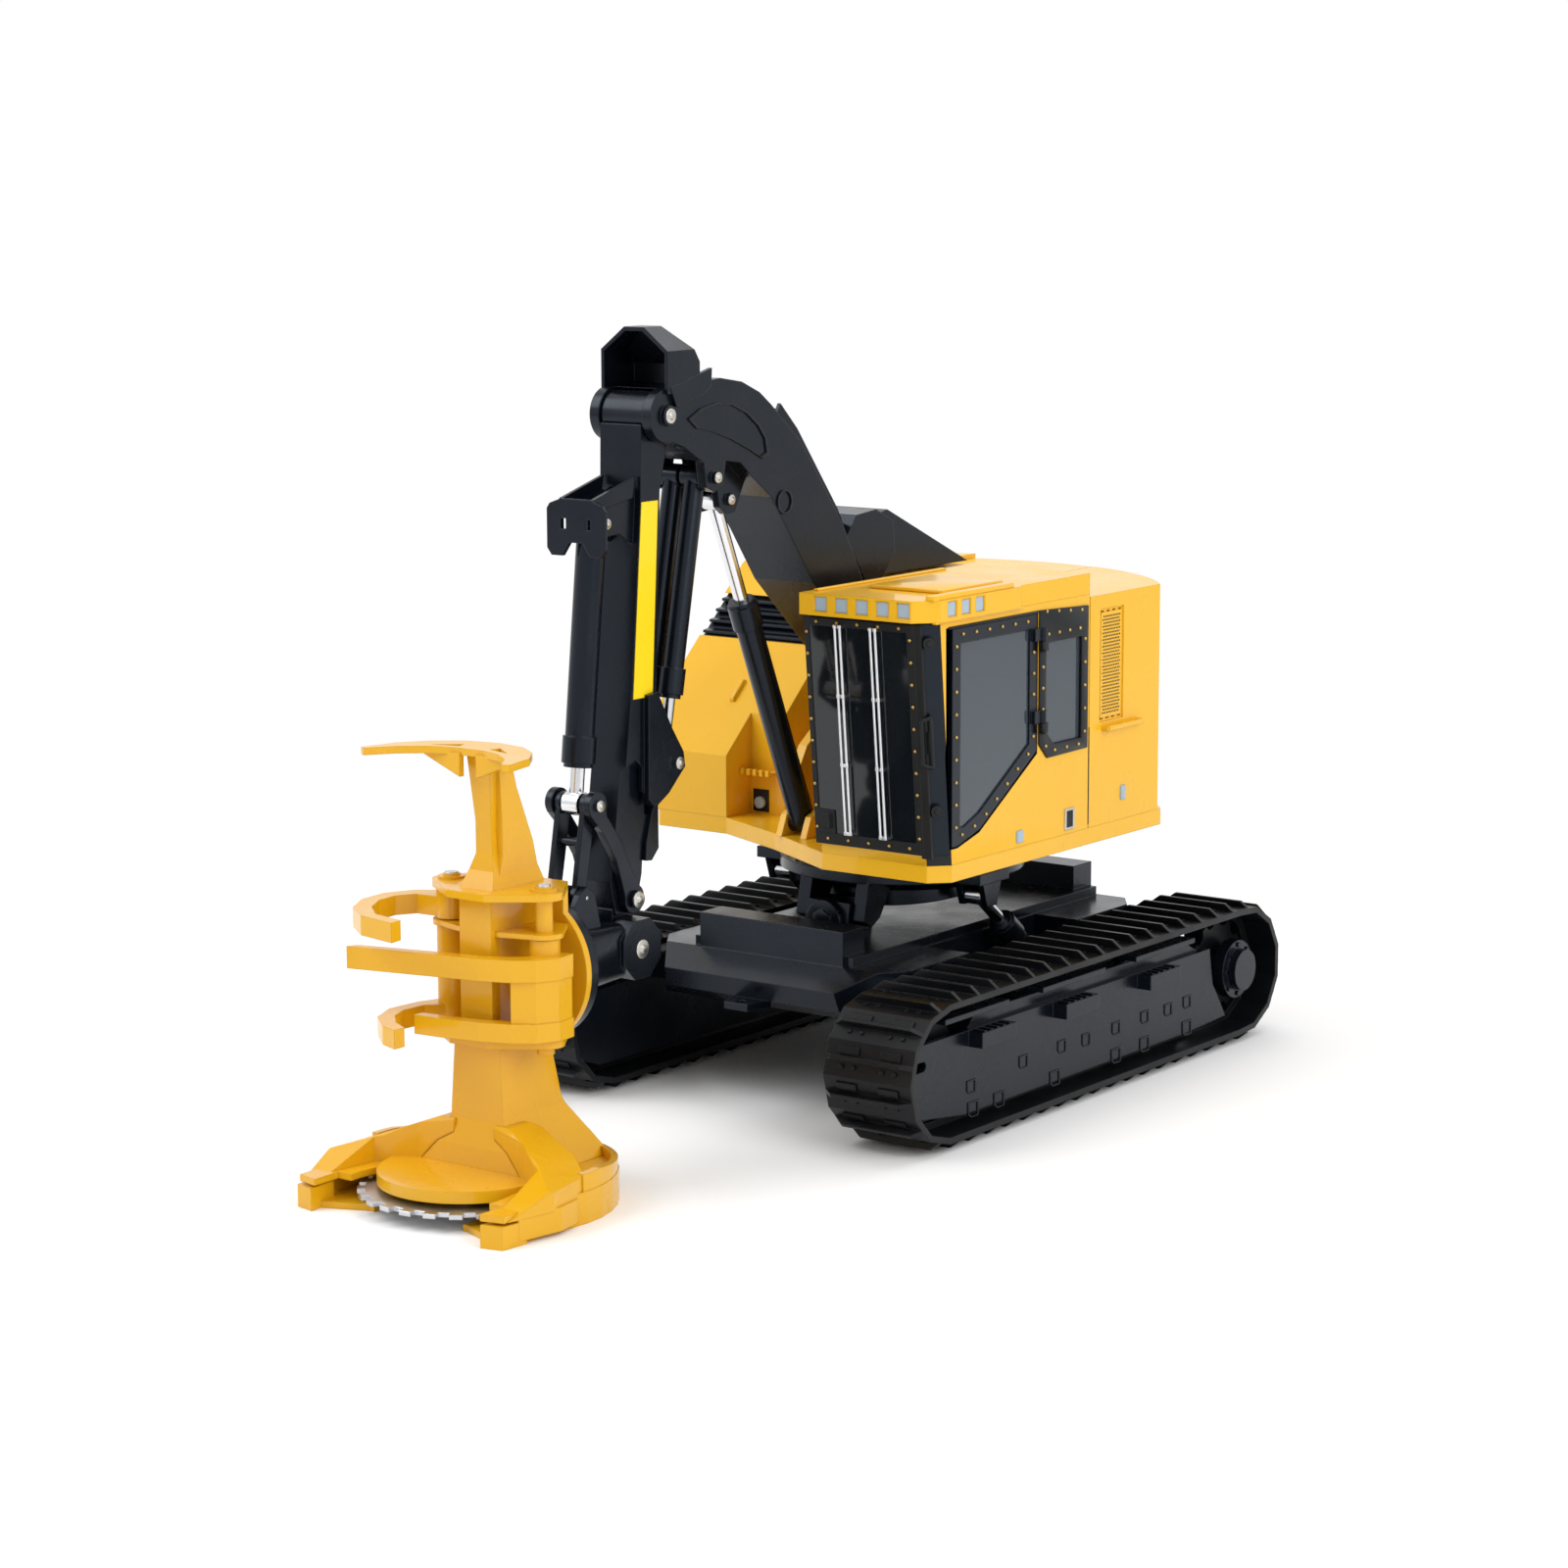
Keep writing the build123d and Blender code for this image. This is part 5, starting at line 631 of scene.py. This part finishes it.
class BUNCHER_OT_track_trim(bpy.types.Operator):
    """Adds the pads and bolts of the track shoes and the relief of the side guards"""
    bl_idname = "buncher.track_trim"
    bl_label = "Trim the tracks"

    def execute(self, context):
        detail = context.scene.buncher_detail
        base, radius = detail.wheelbase / MM, detail.wheel_radius / MM
        half_turn = math.pi * radius
        pitch = (2 * base + 2 * half_turn) / detail.shoe_count
        axle = radius + SHOE_LIFT
        for side, name in ((1, "left"), (-1, "right")):
            shape = bmesh.new()
            for i in range(detail.shoe_count):
                run = (i + 0.5) * pitch
                turn, centre = 0.0, (FRONT_WHEEL_Y + run, axle)
                if run > base:
                    turn, centre = (run - base) / radius, (FRONT_WHEEL_Y + base, axle)
                if run > base + half_turn:
                    turn, centre = math.pi, (FRONT_WHEEL_Y + base - (run - base - half_turn), axle)
                if run > 2 * base + half_turn:
                    turn, centre = math.pi + (run - 2 * base - half_turn) / radius, (FRONT_WHEEL_Y, axle)
                reach = radius + 1.3
                if turn % math.pi:
                    reach *= math.cos(pitch / 2 / radius)
                self.shoe(shape, side, centre, turn, reach)
            finished(name + "_shoe_details", shape, "track", "undercarriage")
        shape = bmesh.new()
        patch = [(-1.6, -0.7), (-1.6, 1.4), (1.6, 1.4), (1.6, -1.4), (-0.8, -1.4)]
        upper = [(-48.0, 10.6), (-28.7, 11.9), (-14.0, 12.2), (-4.5, 11.8), (7.5, 12.0), (19.2, 12.2),
                 (29.0, 12.0), (37.0, 12.2)]
        lower = [(-47.3, 5.8), (-37.8, 5.8), (-16.7, 6.0), (7.5, 6.0), (19.2, 6.2), (37.0, 6.4)]
        treads = [(y + 1.0 + i * 2.3, y + 1.8 + i * 2.3) for y in (-49.0, -17.5, 16.0) for i in range(5)]
        for side in (1, -1):
            for places, grow in ((upper, 1.0), (lower, 1.2)):
                for y, z in places:
                    outline = [(y + a * grow, z + b * grow) for a, b in patch]
                    plate(shape, outline, "x", side * GUARD_X, side * (GUARD_X + 0.3), shrunk(outline, 0.78))
            for y0, y1 in ((-60.5, -37.4), (-24.7, -0.5), (11.9, 36.3)):
                box(shape, sorted((side * 48.0, side * 52.2)), (y0, y1), (25.8, 26.9))
            for tread in treads:
                box(shape, sorted((side * 50.4, side * 53.2)), tread, (22.1, 22.45))
        finished("guard_relief", shape, "black", "undercarriage")
        shape = bmesh.new()
        for side in (1, -1):
            for y, z in circle(DRIVE_WHEEL_Y, axle, 5.5, 8):
                rod(shape, (side * 50.4, y, z), (side * 51.0, y, z), 0.55, 6)
        finished("hub_bolts", shape, "black", "undercarriage")
        return {"FINISHED"}

    def shoe(self, shape, side, centre, turn, reach):
        """Two raised pads and four bolt heads beside the grouser of one shoe."""
        along = (math.cos(turn), -math.sin(turn))
        out = (math.sin(turn), math.cos(turn))

        def spot(x, run, height):
            return (side * TRACK_X + x, centre[0] + along[0] * run + out[0] * (reach + height),
                    centre[1] + along[1] * run + out[1] * (reach + height))
        for x0, x1 in ((-7.4, -2.6), (2.6, 7.4)):
            corners = ((x0, 0.9), (x1, 0.9), (x1, 2.5), (x0, 2.5))
            low = [shape.verts.new(at(*spot(x, run, -0.2))) for x, run in corners]
            grown = bmesh.ops.extrude_face_region(shape, geom=[shape.faces.new(low)])["geom"]
            bmesh.ops.translate(shape, vec=Vector((0, out[0], out[1])) * 0.6 * MM, verts=grown_verts(grown))
        for x in (-6.4, -3.4, 3.4, 6.4):
            rod(shape, spot(x, -1.6, -0.2), spot(x, -1.6, 0.35), 0.55, 6)


class BUNCHER_OT_base_trim(bpy.types.Operator):
    """Adds the drum under the slewing ring and the bolts of the felling head"""
    bl_idname = "buncher.base_trim"
    bl_label = "Trim the ring and the head"

    def execute(self, context):
        shape = bmesh.new()
        rod(shape, (0, 0, 35.0), (0, 0, 45.0), 18.6, 64)
        low, high = at(0, -18.6, 37.4), at(0, 18.6, 41.2)
        slope = Vector((0, -(high.z - low.z), high.y - low.y)).normalized()
        cut = bmesh.ops.bisect_plane(shape, geom=list(shape.verts) + list(shape.edges) + list(shape.faces),
                                     plane_co=low, plane_no=-slope, clear_outer=True)
        rim = [e for e in cut["geom_cut"] if isinstance(e, bmesh.types.BMEdge)]
        bmesh.ops.contextual_create(shape, geom=rim)
        for x, y in circle(0, 0, 24.6, 24):
            rod(shape, (x, y, 45.8), (x, y, 46.25), 0.7, 6)
        finished("ring_drum", shape, "black", "levelling")
        shape = bmesh.new()
        rod(shape, (0, -29.6, 35.6), (0, -27.0, 35.6), 4.4, 32)
        rod(shape, (0, -30.2, 35.6), (0, -29.4, 35.6), 2.6, 6)
        soften(shape, 0.3)
        finished("trunnion_boss", shape, "black", "undercarriage")
        shape = bmesh.new()
        for side in (1, -1):
            rod(shape, (side * 11.4, -134.5, 60.8), (side * 11.4, -134.5, 61.4), 1.3, 20)
        for i in range(10):
            angle = math.radians(200 + i * 15)
            x, y = 16.4 * math.cos(angle), SAW_Y - 16.4 * math.sin(angle)
            rod(shape, (x, y, 7.1), (x, y, 7.6), 0.7, 6)
        finished("head_bolts", shape, "bolt", "head")
        return {"FINISHED"}


class BUNCHER_OT_glazing(bpy.types.Operator):
    """Makes the windscreen darker than the side windows and the cab dark inside, both as painted shade"""
    bl_idname = "buncher.glazing"
    bl_label = "Tint the glass"

    def execute(self, context):
        for node, finish in (("cab_glass", "glass"), ("cab_shell", "yellow")):
            shape = bmesh.new()
            shape.from_mesh(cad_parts[node].data)
            bmesh.ops.remove_doubles(shape, verts=shape.verts, dist=1e-6)
            piece = finished(node + "_finished", shape, finish, "house")
            piece.data.materials.append(MATERIALS["windscreen" if node == "cab_glass" else "dark"])
            for face in piece.data.polygons:
                x, y, z = ((face.center - at(0, 0, 0)) / MM)
                front = WINDSCREEN_Y + LEAN * (z - DECK_Z)
                if node == "cab_glass":
                    # Windscreen faces take the darkened acrylic, painted shade.
                    face.material_index = int(y < front + 1.5)
                else:
                    # Faces inside the cab take the black trim as painted shade; faces outside the side wall are
                    # the black frames round the door.
                    inside = 15.4 < x < 44.0 and front + 0.5 < y < 3.8 and z > 55.5
                    face.material_index = int(inside or x > 44.55)
            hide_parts(node)
        return {"FINISHED"}


class BUNCHER_OT_studio(bpy.types.Operator):
    """Builds the pale floor, the soft lights and the camera"""
    bl_idname = "buncher.studio"
    bl_label = "Set up the studio"

    def execute(self, context):
        studio = context.scene.buncher_studio
        scene = context.scene
        mesh = bpy.data.meshes.new("studio_floor")
        shape = bmesh.new()
        bmesh.ops.create_grid(shape, x_segments=1, y_segments=1, size=3.0)
        shape.to_mesh(mesh)
        shape.free()
        floor = bpy.data.objects.new("studio_floor", mesh)
        scene.collection.objects.link(floor)
        floor.data.materials.append(self.paper())
        world = bpy.data.worlds.new("white_room")
        scene.world = world
        world.use_nodes = True
        tree = world.node_tree
        tree.nodes.clear()
        path = add_node(tree, "ShaderNodeLightPath")
        seen = add_node(tree, "ShaderNodeMath", [(0, path.outputs["Is Camera Ray"]),
                                                 (1, path.outputs["Is Transmission Ray"])], operation="MAXIMUM")
        seen = add_node(tree, "ShaderNodeMath", [(0, seen.outputs[0]), (1, path.outputs["Is Glossy Ray"])],
                        operation="MAXIMUM")
        room = add_node(tree, "ShaderNodeBackground", Color=(1, 1, 1, 1), Strength=studio.fill)
        white = add_node(tree, "ShaderNodeBackground", Color=(1, 1, 1, 1), Strength=1.0)
        both = add_node(tree, "ShaderNodeMixShader", [(0, seen.outputs[0]), (1, room.outputs[0]),
                                                      (2, white.outputs[0])])
        add_node(tree, "ShaderNodeOutputWorld", [("Surface", both.outputs[0])])
        for name, place, size, power in (("key", (-0.45, -0.55, 0.75), 0.7, studio.key),
                                         ("side", (0.75, -0.15, 0.5), 0.6, studio.key * 0.7),
                                         ("top", (0.0, 0.35, 0.9), 0.8, studio.key * 0.6)):
            lamp = bpy.data.lights.new(name + "_light", "AREA")
            lamp.energy = power
            lamp.size = size
            holder = bpy.data.objects.new(name + "_light", lamp)
            holder.location = place
            aim = Vector(place) - Vector((0, 0, 0.06))
            holder.rotation_euler = aim.to_track_quat("Z", "Y").to_euler()
            scene.collection.objects.link(holder)
        camera = bpy.data.cameras.new("camera")
        camera.lens = studio.lens
        camera.sensor_width = 36.0
        camera.clip_start = 0.01
        camera.clip_end = 20.0
        holder = bpy.data.objects.new("camera", camera)
        scene.collection.objects.link(holder)
        turn, rise, roll = (math.radians(a) for a in (36.361, 9.640, -0.180))
        back = Vector((math.sin(turn) * math.cos(rise), -math.cos(turn) * math.cos(rise), math.sin(rise)))
        right = Vector((math.cos(turn), math.sin(turn), 0))
        up = back.cross(right)
        right, up = (right * math.cos(roll) + up * math.sin(roll),
                     up * math.cos(roll) - right * math.sin(roll))
        axes = Matrix((right, up, back)).transposed().to_4x4()
        holder.matrix_world = Matrix.Translation(at(468.36, -679.33, 200.86)) @ axes
        scene.camera = holder
        scene.view_settings.view_transform = "Standard"
        return {"FINISHED"}

    def paper(self):
        """White seamless paper: matt under the model, and shining white further out as in a light tent."""
        material, tree, shader, where = new_material("seamless_paper", 0.9)
        mottled(tree, shader, where, srgb("#f7f7f7"), 0.01, 0.2)
        reach = add_node(tree, "ShaderNodeVectorMath", [(0, where)], operation="LENGTH")
        edge = add_node(tree, "ShaderNodeMapRange", [("Value", reach.outputs["Value"])])
        for socket, value in (("From Min", 0.16), ("From Max", 0.34)):
            edge.inputs[socket].default_value = value
        path = add_node(tree, "ShaderNodeLightPath")
        seen = add_node(tree, "ShaderNodeMath", [(0, edge.outputs["Result"]), (1, path.outputs["Is Camera Ray"])],
                        operation="MULTIPLY")
        glow = add_node(tree, "ShaderNodeEmission", Color=(1, 1, 1, 1), Strength=1.0)
        both = add_node(tree, "ShaderNodeMixShader", [(0, seen.outputs[0]), (1, shader.outputs[0]),
                                                      (2, glow.outputs[0])])
        output = next(node for node in tree.nodes if node.type == "OUTPUT_MATERIAL")
        tree.links.new(both.outputs[0], output.inputs["Surface"])
        return material


CLASSES = (FinishSettings, DetailSettings, StudioSettings, BUNCHER_OT_paint, BUNCHER_OT_glazing,
           BUNCHER_OT_windscreen, BUNCHER_OT_side_windows, BUNCHER_OT_corner_post, BUNCHER_OT_side_fittings,
           BUNCHER_OT_roof_trim, BUNCHER_OT_grille, BUNCHER_OT_boom_trim, BUNCHER_OT_track_trim,
           BUNCHER_OT_base_trim, BUNCHER_OT_studio)


class BUNCHER_PT_panel(bpy.types.Panel):
    """Lists the pieces and their settings"""
    bl_idname = "BUNCHER_PT_panel"
    bl_label = "Feller Buncher"
    bl_space_type = "VIEW_3D"
    bl_region_type = "UI"
    bl_category = "Feller Buncher"

    def draw(self, context):
        for group in (context.scene.buncher_finish, context.scene.buncher_detail, context.scene.buncher_studio):
            for key in group.__annotations__:
                self.layout.prop(group, key)
        for step in STEPS:
            self.layout.operator("buncher." + step)


STEPS = ("paint", "glazing", "windscreen", "side_windows", "corner_post", "side_fittings", "roof_trim", "grille",
         "boom_trim", "track_trim", "base_trim", "studio")


def register():
    for kind in CLASSES + (BUNCHER_PT_panel,):
        bpy.utils.register_class(kind)
    bpy.types.Scene.buncher_finish = PointerProperty(type=FinishSettings)
    bpy.types.Scene.buncher_detail = PointerProperty(type=DetailSettings)
    bpy.types.Scene.buncher_studio = PointerProperty(type=StudioSettings)


def unregister():
    del bpy.types.Scene.buncher_finish
    del bpy.types.Scene.buncher_detail
    del bpy.types.Scene.buncher_studio
    for kind in reversed(CLASSES + (BUNCHER_PT_panel,)):
        bpy.utils.unregister_class(kind)


def main():
    register()
    for step in STEPS:
        getattr(bpy.ops.buncher, step)()


if __name__ == "__main__":
    main()
